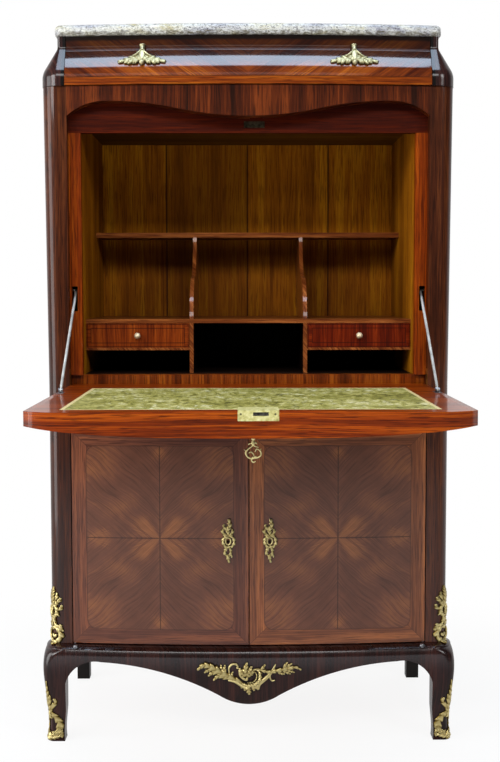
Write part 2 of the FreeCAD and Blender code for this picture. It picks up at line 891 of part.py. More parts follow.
def build_nest():
    half = d.nest_divider_thick / 2
    under = nest_top - d.nest_thick
    deep = (nest_front, back_inner)
    boards = []
    for side, sign in SIDES:
        divider = span(sign, d.nest_place - half, d.nest_place + half)
        boards.append(block(f"nest_divider_{side}", divider, deep, (interior_floor, under)))
        runner = span(sign, d.nest_place + half, half_interior)
        runner_z = (runner_top - d.runner_thick, runner_top)
        boards.append(block(f"nest_runner_{side}", runner, deep, runner_z))
        inner = d.nest_place + half + d.small_gap
        build_small_drawer(side, sign, inner, half_interior - d.small_gap, under)
    node("nest_frame", group("nest_frame", *boards))


def build_small_drawer(side, sign, inner, outer, under):
    low = runner_top
    high = under - d.small_gap
    front_back = nest_front + d.small_front_thick
    end = back_inner - d.small_back_gap
    wall = d.small_wall
    z = (low, high - d.small_gap * 2)
    between = span(sign, inner + wall, outer - wall)
    name = f"small_drawer_{side}"
    boards = [
        block(f"{name}_front", span(sign, inner, outer), (nest_front, front_back), (low, high)),
        block(f"{name}_inner_side", span(sign, inner, inner + wall), (front_back, end), z),
        block(f"{name}_outer_side", span(sign, outer - wall, outer), (front_back, end), z),
        block(f"{name}_end", between, (end - wall, end), z),
        block(f"{name}_bottom", between, (front_back, end - wall), (low, low + wall)),
    ]
    node(name, group(name, *boards))
    place = ((inner + outer) / 2 * sign, nest_front, (low + high) / 2)
    node(f"{name}_knob", turned(f"{name}_knob", "XY_Plane", "V_Axis", knob_points(), place))


def knob_points():
    """Half the outline of a knob: a flared neck that carries a ball."""
    ball = d.knob_radius
    neck = d.knob_neck
    ball_y = ball - d.knob_reach
    neck_y = ball_y + (ball * ball - neck * neck).root()
    return [
        (0, 0),
        (neck * 1.6, 0),
        (neck, neck_y, neck * 1.1, neck_y / 2),
        (0, -d.knob_reach, ball, ball_y),
    ]


def build_mid_rail():
    blank = block(
        "mid_rail_blank", (-half_opening, half_opening),
        (-d.bow_depth * 2, d.mid_rail_depth), (mid_rail_base, mid_rail_top),
    )
    bowed = overlap("mid_rail_bowed", blank, upright_bow("mid_rail_bow", 0))
    end_radius = (d.hinge_inset * d.hinge_inset + flap_heel * flap_heel).root() + d.swing_clear
    mid_radius = (flap_heel * flap_heel * 2).root() + d.swing_clear
    hollow = turned(
        "flap_hollow", "XY_Plane", "H_Axis",
        [
            (-half_opening - d.flap_gap, 0),
            (half_opening + d.flap_gap, 0),
            (half_opening + d.flap_gap, end_radius),
            (-half_opening - d.flap_gap, end_radius, 0, mid_radius),
        ],
        (0, d.hinge_inset, hinge_z),
    )
    node("mid_rail", cut("mid_rail", bowed, hollow))


def build_cupboard():
    shelf_z = (d.cupboard_shelf_top - d.cupboard_shelf_thick, d.cupboard_shelf_top)
    node("cupboard_shelf", fitted_board("cupboard_shelf", d.cupboard_shelf_setback, shelf_z))
    bottom_z = (d.apron_top - d.bottom_thick, d.apron_top)
    panel = fitted_board("bottom_panel", d.post_depth, bottom_z)
    lip = block("bottom_lip", (-half_opening, half_opening), (d.apron_back, d.post_depth), bottom_z)
    node("bottom_board", union("bottom_board", panel, lip))


# Fall-front

def build_flap():
    half = half_opening - d.flap_gap
    edge = serpentine(lambda drop: d.hinge_inset + hinge_z + d.flap_gap - frieze_base + drop, d.flap_gap)
    points = [(half, flap_back), (-half, flap_back)] + edge
    underside = d.writing_height - d.flap_thick - d.bow_depth * 2
    blank = slab("flap_blank", "XY_Plane", points, underside, d.writing_height)
    bow = bar(
        "flap_bow", "Y", bow_radius, (0, -flap_reach * 2, d.writing_height - d.flap_thick + bow_centre),
        flap_reach * 4,
    )
    tools = [leather_block("leather_recess"), lock_seat(), key_way()]
    for side, sign in SIDES:
        low, high = span(sign, half - d.pivot_reach, half_opening)
        bore = d.pivot_radius + d.run_clear
        tools.append(bar(f"pivot_bore_{side}", "X", bore, (low, d.hinge_inset, hinge_z), high - low))
        tools.append(stay_plate(f"stay_plate_seat_{side}", sign))
    node("flap_panel", cut("flap_panel", overlap("flap_bowed", blank, bow), *tools))
    sheet_blank = leather_block("leather_sheet")
    node("writing_leather", cut("writing_leather", sheet_blank, lock_plate("leather_notch")))
    build_flap_lock()


def flap_edge():
    """Depth of the fall-front's front edge at its centre."""
    return d.hinge_inset + hinge_z + d.flap_gap - frieze_base + d.rail_centre_drop


def leather_block(name):
    half = half_opening - d.flap_gap - d.leather_side
    return block(
        name, (-half, half), (flap_edge() + d.leather_front, flap_back - d.leather_back),
        (d.writing_height - d.leather_thick, d.writing_height),
    )


def lock_plate(name):
    half = d.lock_width / 2
    edge = flap_edge()
    return block(
        name, about(d.lock_place, half), (edge, edge + d.lock_depth),
        (d.writing_height - d.lock_plate_thick, d.writing_height),
    )


def lock_parts(name):
    """The lock's plate on the writing face, its selvage on the edge and its case in the wood."""
    half = d.lock_width / 2
    edge = flap_edge()
    under = d.writing_height - d.lock_plate_thick
    margin = d.lock_case_margin
    selvage = block(
        f"{name}_selvage", about(d.lock_place, half), (edge, edge + d.lock_plate_thick),
        (d.writing_height - d.selvage_height, under),
    )
    case = block(
        f"{name}_case", about(d.lock_place, half - margin),
        (edge + d.lock_plate_thick, edge + d.lock_depth - margin), (under - d.lock_case_thick, under),
    )
    return union(name, lock_plate(f"{name}_plate"), selvage, case)


def lock_seat():
    """The room cut for the lock, open through the wavy edge in front of its selvage."""
    half = d.lock_width / 2
    edge = flap_edge()
    mouth = block(
        "lock_mouth", about(d.lock_place, half), (edge - d.bolt_thick, edge),
        (d.writing_height - d.selvage_height, d.writing_height),
    )
    return union("lock_room", lock_parts("lock_seat"), mouth)


def key_way():
    """The keyhole through the wood below the lock."""
    edge = flap_edge() + d.key_setback
    base = d.writing_height - d.flap_thick - d.bow_depth * 2
    top = d.writing_height - d.lock_plate_thick
    hole = d.key_shank_radius + d.bolt_clear
    shaft = bar("keyhole_shaft", "Z", hole, (key_place, edge, base), top - base)
    wing = d.key_bit_thick / 2 + d.bolt_clear
    notch = block(
        "keyhole_wing", about(key_place, wing),
        (edge, edge + d.key_shank_radius + d.key_bit_length + d.bolt_clear), (base, top),
    )
    return union("key_way", shaft, notch)


def bolt_limits(extra):
    """The bolt's limits across, along and through, grown by a clearance."""
    half = d.bolt_width / 2 + extra
    edge = flap_edge()
    top = d.writing_height - lock_bolt_depth() + extra
    length = (edge, edge + d.bolt_length + extra)
    return about(bolt_place, half), length, (top - d.bolt_thick - extra * 2, top)


def build_flap_lock():
    edge = flap_edge()
    key_y = edge + d.key_setback
    under = d.writing_height - d.lock_plate_thick
    case_base = under - d.lock_case_thick
    channel = block("bolt_channel", *bolt_limits(d.bolt_clear))
    bit_sweep = d.key_shank_radius + d.key_bit_length + d.bolt_clear
    room = d.key_bit_height + d.bolt_clear * 2
    chamber = bar("bit_chamber", "Z", bit_sweep, (key_place, key_y, case_base), room)
    shaft = bar(
        "lock_key_bore", "Z", d.key_shank_radius + d.bolt_clear, (key_place, key_y, case_base),
        d.lock_case_thick - d.lock_plate_thick,
    )
    node("flap_lock", cut("flap_lock", lock_parts("flap_lock_body"), channel, chamber, shaft))
    node("flap_bolt", block("flap_bolt", *bolt_limits(0)))

    bow_z = d.writing_height - d.flap_thick - d.bow_depth - d.key_drop + d.key_bow_radius
    shank_base = bow_z + d.key_bow_radius - d.key_bow_wire
    shank_top = case_base + d.key_bit_height + d.bolt_clear * 3
    shank_foot = (key_place, key_y, shank_base)
    shank = bar("key_shank", "Z", d.key_shank_radius, shank_foot, shank_top - shank_base)
    bit_half = d.key_bit_thick / 2
    bit_base = case_base + d.bolt_clear
    bit = block(
        "key_bit", about(key_place, bit_half), (key_y, key_y + d.key_shank_radius + d.key_bit_length),
        (bit_base, bit_base + d.key_bit_height),
    )
    ring = doc.addObject("Part::Torus", "key_bow")
    ring.Placement = Placement(Vector(), LEAN["Y"])
    bind(ring, "Radius1", d.key_bow_radius - d.key_bow_wire)
    bind(ring, "Radius2", d.key_bow_wire)
    seat(ring, key_place, key_y, bow_z)
    node("flap_key", union("flap_key", shank, bit, ring))


def stay_plate(name, sign):
    """The plate let flush into the fall-front under a stay's foot."""
    centre = d.hinge_inset - d.stay_reach
    half = d.stay_plate_width / 2
    return block(
        name, span(sign, stay_place - half, stay_place + half),
        (centre - d.stay_plate_length / 2, centre + d.stay_plate_length / 2),
        (d.writing_height - d.stay_plate_thick, d.writing_height),
    )


def build_stays():
    pivot_y = d.hinge_inset - d.stay_reach
    pivot_z = d.writing_height + d.stay_lift
    half_eye = d.stay_eye_thick / 2
    plates = []
    for side, sign in SIDES:
        place = stay_place * sign
        lugs = []
        for edge, away in (("inner", -1), ("outer", 1)):
            near = half_eye + d.stay_side_clear
            low, high = span(away, near, near + d.stay_lug_thick)
            lug_start = (low + place, pivot_y, pivot_z)
            lug = bar(f"stay_lug_{side}_{edge}", "X", d.stay_eye_radius, lug_start, high - low)
            base = block(
                f"stay_lug_base_{side}_{edge}", (low + place, high + place),
                (pivot_y - d.stay_eye_radius, pivot_y + d.stay_eye_radius), (d.writing_height, pivot_z),
            )
            lugs += [lug, base]
        outer = half_eye + d.stay_side_clear + d.stay_lug_thick
        pin_start = (place - outer, pivot_y, pivot_z)
        pin = bar(f"stay_pin_{side}", "X", d.stay_pin_radius, pin_start, outer * 2)
        plate = stay_plate(f"stay_foot_plate_{side}", sign)
        plates.append(union(f"stay_foot_{side}", plate, pin, *lugs))
        build_stay_rod(side, sign, pivot_y, pivot_z)
    node("stay_plates", group("stay_plates", *plates))


def build_stay_rod(side, sign, pivot_y, pivot_z):
    """A rod that turns on its foot, runs through the slot and ends in a cross bar behind it."""
    name = f"stay_rod_{side}"
    place = stay_place * sign
    half_eye = d.stay_eye_thick / 2
    lift = hinge_depth + d.stay_lift
    chord = (d.stay_reach * d.stay_reach * 2 + lift * lift * 2).root()
    eye_start = (place - half_eye, pivot_y, pivot_z)
    eye = bar(f"{name}_eye", "X", d.stay_eye_radius, eye_start, d.stay_eye_thick)
    shaft = leaning_bar(f"{name}_bar", (place, pivot_y, pivot_z), chord + d.stay_tail, lift)
    slope = d.stay_tail / chord
    tail_y = d.hinge_inset + lift + (d.stay_reach + lift) * slope
    tail_z = hinge_z + d.stay_reach + (d.stay_reach - lift) * slope
    cross_inner = half_interior + d.lining_thick + d.swing_clear
    low, high = span(sign, cross_inner, stay_place + d.stay_cross_reach)
    cross = bar(f"{name}_cross", "X", d.stay_radius, (low, tail_y, tail_z), high - low)
    room = d.stay_eye_radius * 2
    cheeks = [
        block(
            f"{name}_cheek_{edge}", (place + near, place + far),
            (pivot_y - room, pivot_y + room), (pivot_z - room, pivot_z + room),
        )
        for edge, (near, far) in (("low", (-room, -half_eye)), ("high", (half_eye, room)))
    ]
    bore_start = (place - room, pivot_y, pivot_z)
    bore = bar(f"{name}_bore", "X", d.stay_pin_radius + d.run_clear, bore_start, room * 2)
    node(name, cut(name, union(f"{name}_blank", eye, shaft, cross), *cheeks, bore))


def leaning_bar(name, start, length, lift):
    """A stay's bar, leaning back from its foot towards the slot in the case."""
    rod = bar(name, "Z", d.stay_radius, start, length)
    rod.Placement = Placement(Vector(), Rotation(Vector(-1, 0, 0), 45))
    rod.setExpression("Placement.Rotation.Angle", f"45 deg + atan({lift.text} / {d.stay_reach.text})")
    return rod


# Doors

def build_doors():
    ring = cut("door_ring", upright_bow("door_outer_bow", 0), upright_bow("door_inner_bow", -d.door_thick))
    for side, sign in SIDES:
        limits = block(
            f"door_limits_{side}", span(sign, d.door_gap / 2, door_outer),
            (-d.bow_depth * 2, d.door_thick * 2), (door_base, door_top),
        )
        panel = overlap(f"door_blank_{side}", ring, limits)
        bore = d.door_pin_radius + d.run_clear
        axis = door_axis * sign
        holes = [
            bar(f"door_bore_low_{side}", "Z", bore, (axis, d.door_pivot_inset, door_base), d.door_pin_reach),
            bar(
                f"door_bore_high_{side}", "Z", bore,
                (axis, d.door_pivot_inset, door_top - d.door_pin_reach), d.door_pin_reach,
            ),
        ]
        if sign > 0:
            holes += [door_lock_block("door_lock_seat"), door_bolt_block("door_bolt_way", d.bolt_clear)]
        else:
            holes.append(door_strike())
        key_x = (d.escutcheon_place + d.door_gap / 2) * sign
        holes.append(door_keyhole(f"door_keyhole_{side}", key_x))
        node(f"door_{side}", cut(f"door_{side}", panel, *holes))
        build_escutcheon(side, key_x)
    case = door_lock_block("door_lock_body")
    bolt_way = door_bolt_block("door_lock_way", d.bolt_clear)
    key_hole = door_keyhole("door_lock_keyhole", d.escutcheon_place + d.door_gap / 2)
    node("door_lock", cut("door_lock", case, bolt_way, key_hole))
    node("door_lock_bolt", door_bolt_block("door_lock_bolt", 0))
    build_door_pivots()


def door_keyhole(name, x):
    start = (x, -d.bow_depth * 2, d.escutcheon_height)
    return bar(name, "Y", d.keyhole_radius, start, d.bow_depth * 2 + d.door_thick)


def door_back():
    """Depth of the doors' inner face where they meet."""
    return d.door_thick - d.bow_depth


def door_lock_block(name):
    low = d.door_gap / 2
    half = d.door_lock_height / 2
    back = door_back()
    return block(
        name, (low, low + d.door_lock_width), (back - d.door_lock_thick, back),
        (d.escutcheon_height - half, d.escutcheon_height + half),
    )


def door_bolt_block(name, extra):
    low = d.door_gap / 2
    back = door_back() - d.bolt_clear * 5
    centre = d.escutcheon_height + d.door_bolt_height
    half = d.door_bolt_height / 2 + extra
    return block(
        name, (low, low + d.door_bolt_length + extra), (back - d.door_bolt_thick - extra * 2, back),
        (centre - half, centre + half),
    )


def door_strike():
    back = door_back() - d.bolt_clear * 3
    centre = d.escutcheon_height + d.door_bolt_height
    half = d.door_bolt_height / 2 + d.bolt_clear * 2
    low = -d.door_gap / 2 - d.door_bolt_throw - d.bolt_clear * 2
    return block(
        "door_strike_mortise", (low, 0), (back - d.door_bolt_thick - d.bolt_clear * 5, back),
        (centre - half, centre + half),
    )


def build_escutcheon(side, x):
    """A cartouche of mirrored scrolls with a leaf tip above and below, pierced by the keyhole."""
    z = d.escutcheon_height
    half = d.escutcheon_width / 2
    tall = d.escutcheon_length / 2
    points = [
        (x + half * 0.4, z + tall * 0.6, x + half * 0.45, z + tall * 0.85),
        (x + half * 0.5, z + tall * 0.25, x + half, z + tall * 0.42),
        (x + half * 0.5, z - tall * 0.3, x + half * 0.85, z),
        (x + half * 0.4, z - tall * 0.62, x + half, z - tall * 0.48),
        (x, z - tall, x + half * 0.5, z - tall * 0.85),
        (x - half * 0.4, z - tall * 0.62, x - half * 0.5, z - tall * 0.85),
        (x - half * 0.5, z - tall * 0.3, x - half, z - tall * 0.48),
        (x - half * 0.5, z + tall * 0.25, x - half * 0.85, z),
        (x - half * 0.4, z + tall * 0.6, x - half, z + tall * 0.42),
        (x, z + tall, x - half * 0.45, z + tall * 0.85),
    ]
    plate = slab(f"escutcheon_blank_{side}", "XZ_Plane", points, -d.bow_depth * 2, 0)
    shell = cut(
        f"escutcheon_shell_{side}", upright_bow(f"escutcheon_outer_{side}", d.escutcheon_thick),
        upright_bow(f"escutcheon_inner_{side}", 0),
    )
    hole = door_keyhole(f"escutcheon_hole_{side}", x)
    label = f"escutcheon_{side}"
    node(label, cut(label, overlap(f"escutcheon_form_{side}", plate, shell), hole))


def build_door_pivots():
    pivots = []
    for side, sign in SIDES:
        axis = door_axis * sign
        reach = d.door_pin_reach - d.door_gap / 2
        low_pin = bar(
            f"door_pin_low_{side}", "Z", d.door_pin_radius, (axis, d.door_pivot_inset, d.apron_top),
            d.door_gap + reach,
        )
        high_pin = bar(
            f"door_pin_high_{side}", "Z", d.door_pin_radius, (axis, d.door_pivot_inset, door_top - reach),
            reach + d.door_gap,
        )
        pivots += [low_pin, high_pin]
    node("door_pivots", group("door_pivots", *pivots))


# Apron, legs and gilt mounts

def apron_points():
    """The lower edge from left to right: leg, crest, shoulder cusp, centre drop and back."""
    rise = apron_crest - apron_end
    run = apron_join - crest_place
    bend_x = apron_join - run * (1 - HALF_ROOT)
    bend_z = apron_end + rise * HALF_ROOT
    slope = crest_place - d.apron_shoulder_place
    fall = apron_crest - apron_shoulder
    left = [
        (-apron_join, apron_end),
        (-crest_place, apron_crest, -bend_x, bend_z),
        (
            -d.apron_shoulder_place, apron_shoulder,
            -crest_place + slope / 2, apron_crest - fall * 0.27,
        ),
    ]
    right = [
        (d.apron_shoulder_place, apron_shoulder, 0, d.apron_top - d.apron_centre_drop),
        (
            crest_place, apron_crest,
            crest_place - slope / 2, apron_crest - fall * 0.27,
        ),
        (apron_join, apron_end, bend_x, bend_z),
    ]
    return left + right


def build_apron():
    points = [(apron_join, d.apron_top), (-apron_join, d.apron_top)] + apron_points()
    front_y = -d.bow_depth - d.apron_swell
    blank = slab("apron_blank", "XZ_Plane", points, front_y, d.apron_back)
    face = -apron_radius
    lean = d.apron_round * (1 - HALF_ROOT)
    section = [
        (0, 0),
        (face, 0),
        (face, d.apron_top - d.apron_round),
        (face + d.apron_round, d.apron_top, face + lean, d.apron_top - lean),
        (0, d.apron_top),
    ]
    swell = turned("apron_bow", "YZ_Plane", "V_Axis", section, (0, bow_centre, 0), 60, middle=True)
    node("front_apron", overlap("front_apron", blank, swell))

    aprons = []
    low = d.apron_top - d.side_apron_height
    start = d.leg_join
    end = d.case_depth - d.stile_width
    points = [
        (start, d.apron_top),
        (end, d.apron_top),
        (end, low),
        (start, low, (start + end) / 2, low + d.side_apron_rise),
    ]
    for side, sign in SIDES:
        near, far = span(sign, side_inner, half_case)
        aprons.append(slab(f"side_apron_{side}", "YZ_Plane", points, near, far))
    node("side_aprons", group("side_aprons", *aprons))


def rounded_square(sign, side_bulge, front_bulge, width, radius):
    """A leg's cross-section, which stands out beyond the post by a bulge to the side and the front."""
    outer = half_case + side_bulge
    inner = outer - width
    front_y = -front_bulge
    back_y = front_y + width
    inset = radius * (1 - HALF_ROOT)
    points = [
        (outer - radius, front_y),
        (outer, front_y + radius, outer - inset, front_y + inset),
        (outer, back_y),
        (inner, back_y),
        (inner, front_y),
    ]
    return [mirrored(point, sign) for point in points]


def mirrored(point, sign):
    """A sketch point with its across values on the side of the given sign."""
    return tuple(value * sign if index % 2 == 0 else value for index, value in enumerate(point))


def leg_form(name, sign, grow):
    """The cabriole leg up to its shoulder, whose knee is flush with the apron in front."""
    levels = (
        (0, d.foot_bulge, d.foot_bulge, d.foot_width),
        (d.ankle_height, d.ankle_bulge, d.ankle_bulge, d.ankle_width),
        (d.calf_height, d.calf_bulge, d.calf_bulge, d.calf_width),
        (d.apron_top - d.knee_drop, d.knee_bulge, apron_face, d.knee_width),
    )
    sections = [
        (rounded_square(sign, to_side + grow, to_front + grow, width + grow * 2, width * 0.4), z)
        for z, to_side, to_front, width in levels
    ]
    return lofted(name, sections + [shoulder_section(sign, 0, 1, grow)])


def shoulder_section(sign, rise, out, grow=0):
    """The leg's section on its rounded shoulder, at shares of the round upwards and outwards."""
    bulge = apron_face - d.apron_round * (1 - formula(out)) + grow
    radius = d.corner_radius + bulge
    level = d.apron_top - d.apron_round * (1 - formula(rise))
    return rounded_square(sign, bulge, bulge, radius + d.leg_join, radius), level


def leg_cap(name, sign):
    """The round over the knee, which carries on the apron's rounded top edge."""
    steps = ((0, 1), (0.5, HALF_ROOT_THREE), (HALF_ROOT_THREE, 0.5), (1, 0))
    return lofted(name, [shoulder_section(sign, rise, out) for rise, out in steps])


def corner_leaf(name, sign, points, place, reach):
    """A leaf outline that faces a front corner of the case along its diagonal."""
    body = new_body(name, place[0] * sign, place[1], 0)
    body.Placement = Placement(Vector(), Rotation(Vector(0, 0, 1), 45 * sign))
    profile = outline(body, "XZ_Plane", points)
    pad = feature(body, "Pad", f"{name}_pad")
    pad.Profile = profile
    bind(pad, "Length", reach)
    return body


def build_legs():
    sabots = []
    for side, sign in SIDES:
        outside = d.knee_bulge * 2
        form = leg_form(f"leg_form_{side}", sign, 0)
        limits = block(
            f"leg_limits_{side}", span(sign, apron_join, half_case + outside),
            (-outside, d.leg_join), (0, d.apron_top),
        )
        whole = union(f"leg_whole_{side}", form, leg_cap(f"leg_cap_{side}", sign))
        leg = overlap(f"front_leg_{side}", whole, limits)
        node(f"front_leg_{side}", leg)
        shoe = leg_form(f"sabot_form_{side}", sign, d.sabot_thick)
        centre = (half_case + d.foot_bulge - d.foot_width / 2, d.foot_width / 2 - d.foot_bulge)
        leaf = corner_leaf(f"sabot_leaf_{side}", sign, sabot_points(), centre, d.foot_width + outside)
        sabots.append(cut(f"sabot_{side}", overlap(f"sabot_blank_{side}", shoe, leaf), leg))
    node("sabots", group("sabots", *sabots))


def sabot_points():
    """The foot mount seen along the diagonal: a shoe that runs up into a pointed leaf."""
    half = d.sabot_width / 2
    shoe = d.sabot_height
    tip = d.sabot_leaf_height
    neck = shoe + (tip - shoe) * 0.2
    barb = shoe + (tip - shoe) * 0.5
    rising = [
        (half, 0),
        (half, shoe * 0.45),
        (half * 0.35, shoe, half * 0.85, shoe * 0.8),
        (half * 0.25, neck),
        (half * 0.5, barb, half * 0.3, (neck + barb) / 2),
        (half * 0.2, barb),
        (0, tip, half * 0.16, (barb + tip) / 2),
    ]
    falling = [
        (-half * 0.2, barb, -half * 0.16, (barb + tip) / 2),
        (-half * 0.5, barb),
        (-half * 0.25, neck, -half * 0.3, (neck + barb) / 2),
        (-half * 0.35, shoe),
        (-half, shoe * 0.45, -half * 0.85, shoe * 0.8),
        (-half, 0),
    ]
    return rising + falling


def chute_points():
    """A corner mount seen along the diagonal: a scrolled base, a curl and a pointed plume."""
    half = d.chute_width / 2
    base = d.apron_top
    tall = d.chute_height
    rising = [
        (half * 0.6, base),
        (half * 0.75, base + tall * 0.33, half, base + tall * 0.15),
        (half * 0.8, base + tall * 0.48, half * 0.6, base + tall * 0.41),
        (half * 0.4, base + tall * 0.68, half * 0.7, base + tall * 0.6),
        (0, base + tall, half * 0.25, base + tall * 0.85),
    ]
    falling = [
        (-half * 0.4, base + tall * 0.68, -half * 0.25, base + tall * 0.85),
        (-half * 0.8, base + tall * 0.48, -half * 0.7, base + tall * 0.6),
        (-half * 0.75, base + tall * 0.33, -half * 0.6, base + tall * 0.41),
        (-half * 0.6, base, -half, base + tall * 0.15),
    ]
    return rising + falling


def mount_points():
    """The apron mount from the front: two spread leaf sprays over a central shell."""
    half = d.apron_mount_half
    tall = d.apron_mount_height
    base = d.apron_top - d.apron_mount_drop - tall
    return [
        (-half * 0.3, base + tall * 0.74, -half * 0.65, base + tall),
        (half * 0.1, base + tall, -half * 0.1, base + tall * 0.94),
        (half * 0.35, base + tall * 0.7, half * 0.28, base + tall * 0.9),
        (half, base + tall * 0.7, half * 0.7, base + tall * 0.9),
        (half * 0.35, base + tall * 0.35, half * 0.7, base + tall * 0.4),
        (0, base, half * 0.2, base + tall * 0.12),
        (-half * 0.35, base + tall * 0.35, -half * 0.2, base + tall * 0.12),
        (-half, base + tall * 0.68, -half * 0.7, base + tall * 0.4),
    ]


def build_mounts():
    outer_face = d.apron_swell + d.apron_mount_thick
    plate = slab("apron_mount_blank", "XZ_Plane", mount_points(), -d.bow_depth - outer_face, d.apron_back)
    shell = cut(
        "apron_mount_shell", upright_bow("apron_mount_outer", outer_face),
        upright_bow("apron_mount_inner", d.apron_swell),
    )
    node("apron_mount", overlap("apron_mount", plate, shell))

    chutes = []
    centre = (half_case - d.corner_radius, d.corner_radius)
    for side, sign in SIDES:
        axis = (centre[0] * sign, centre[1], d.apron_top)
        turn = d.corner_radius + d.chute_thick
        shell = cut(
            f"chute_shell_{side}", bar(f"chute_outer_{side}", "Z", turn, axis, d.chute_height),
            bar(f"chute_inner_{side}", "Z", d.corner_radius, axis, d.chute_height),
        )
        leaf = corner_leaf(f"chute_leaf_{side}", sign, chute_points(), centre, turn)
        chutes.append(overlap(f"chute_{side}", shell, leaf))
    node("corner_mounts", group("corner_mounts", *chutes))


def check(item):
    bad = [state for state in item.State if state in ("Invalid", "Error")]
    if bad:
        raise RuntimeError(f"{item.Name} is {bad}")


build_marble()
build_frieze()
build_frieze_drawer()
build_posts()
build_flap_pivots()
build_sides()
build_back()
build_serpentine_rail()
build_interior()
build_mid_rail()
build_cupboard()
build_flap()
build_stays()
build_doors()
build_apron()
build_legs()
build_mounts()

doc.recompute()
for item in doc.Objects:
    check(item)
faulty = [item.Label for item in nodes if not (item.Shape.isValid() and item.Shape.Solids)]
if faulty:
    raise RuntimeError(f"no valid solid in {faulty}")

os.makedirs("parts", exist_ok=True)
for item in nodes:
    item.Shape.exportStep(f"parts/{item.Label}.step")
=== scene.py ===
import math

import bpy
from mathutils import Matrix, Vector
from mathutils.bvhtree import BVHTree


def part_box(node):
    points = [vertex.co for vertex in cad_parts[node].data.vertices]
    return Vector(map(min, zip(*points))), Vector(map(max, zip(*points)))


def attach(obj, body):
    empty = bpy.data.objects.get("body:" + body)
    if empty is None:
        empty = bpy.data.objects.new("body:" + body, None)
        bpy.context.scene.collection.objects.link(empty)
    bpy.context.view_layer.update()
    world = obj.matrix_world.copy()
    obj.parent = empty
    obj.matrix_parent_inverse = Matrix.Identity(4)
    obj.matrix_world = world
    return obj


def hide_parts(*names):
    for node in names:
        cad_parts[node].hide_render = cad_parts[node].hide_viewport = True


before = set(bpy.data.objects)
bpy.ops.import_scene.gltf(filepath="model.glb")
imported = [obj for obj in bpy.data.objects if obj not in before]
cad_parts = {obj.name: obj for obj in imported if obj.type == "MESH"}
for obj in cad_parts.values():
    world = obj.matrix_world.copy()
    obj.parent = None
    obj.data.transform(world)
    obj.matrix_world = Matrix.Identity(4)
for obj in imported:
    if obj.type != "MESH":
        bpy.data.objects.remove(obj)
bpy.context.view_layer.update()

MM = 0.001
UP = Vector((0, 0, 1))
FRONT = Vector((0, -1, 0))
SIDES = (("left", -1), ("right", 1))


def linear(tone):
    """A colour written as #rrggbb, in Blender's linear numbers."""
    parts = [int(tone[index:index + 2], 16) / 255 for index in (1, 3, 5)]
    curve = [((part + 0.055) / 1.055) ** 2.4 if part > 0.04 else part / 12.92 for part in parts]
    return curve + [1.0]


# Shading: finishes are written as sums of signals, one node to each operation


class Signal:
    """A number that varies over a surface: the output of one node of a finish."""

    def __init__(self, finish, socket):
        self.finish = finish
        self.socket = socket

    def __add__(self, other):
        return self.finish.math("ADD", self, other)

    def __sub__(self, other):
        return self.finish.math("SUBTRACT", self, other)

    def __rsub__(self, other):
        return self.finish.math("SUBTRACT", other, self)

    def __mul__(self, other):
        return self.finish.math("MULTIPLY", self, other)

    def __truediv__(self, other):
        return self.finish.math("DIVIDE", self, other)

    __radd__ = __add__
    __rmul__ = __mul__

    def size(self):
        return self.finish.math("ABSOLUTE", self)

    def least(self, other):
        return self.finish.math("MINIMUM", self, other)

    def most(self, other):
        return self.finish.math("MAXIMUM", self, other)

    def floor(self):
        return self.finish.math("FLOOR", self)

    def step(self, low, high):
        """Rises smoothly from 0 at low to 1 at high, and falls where high is the lower."""
        node = self.finish.add("ShaderNodeMapRange", interpolation_type="SMOOTHSTEP")
        falling = high < low
        limits = (high, low, 1.0, 0.0) if falling else (low, high, 0.0, 1.0)
        self.finish.feed(node.inputs["Value"], self)
        for name, value in zip(("From Min", "From Max", "To Min", "To Max"), limits):
            node.inputs[name].default_value = value
        return Signal(self.finish, node.outputs["Result"])


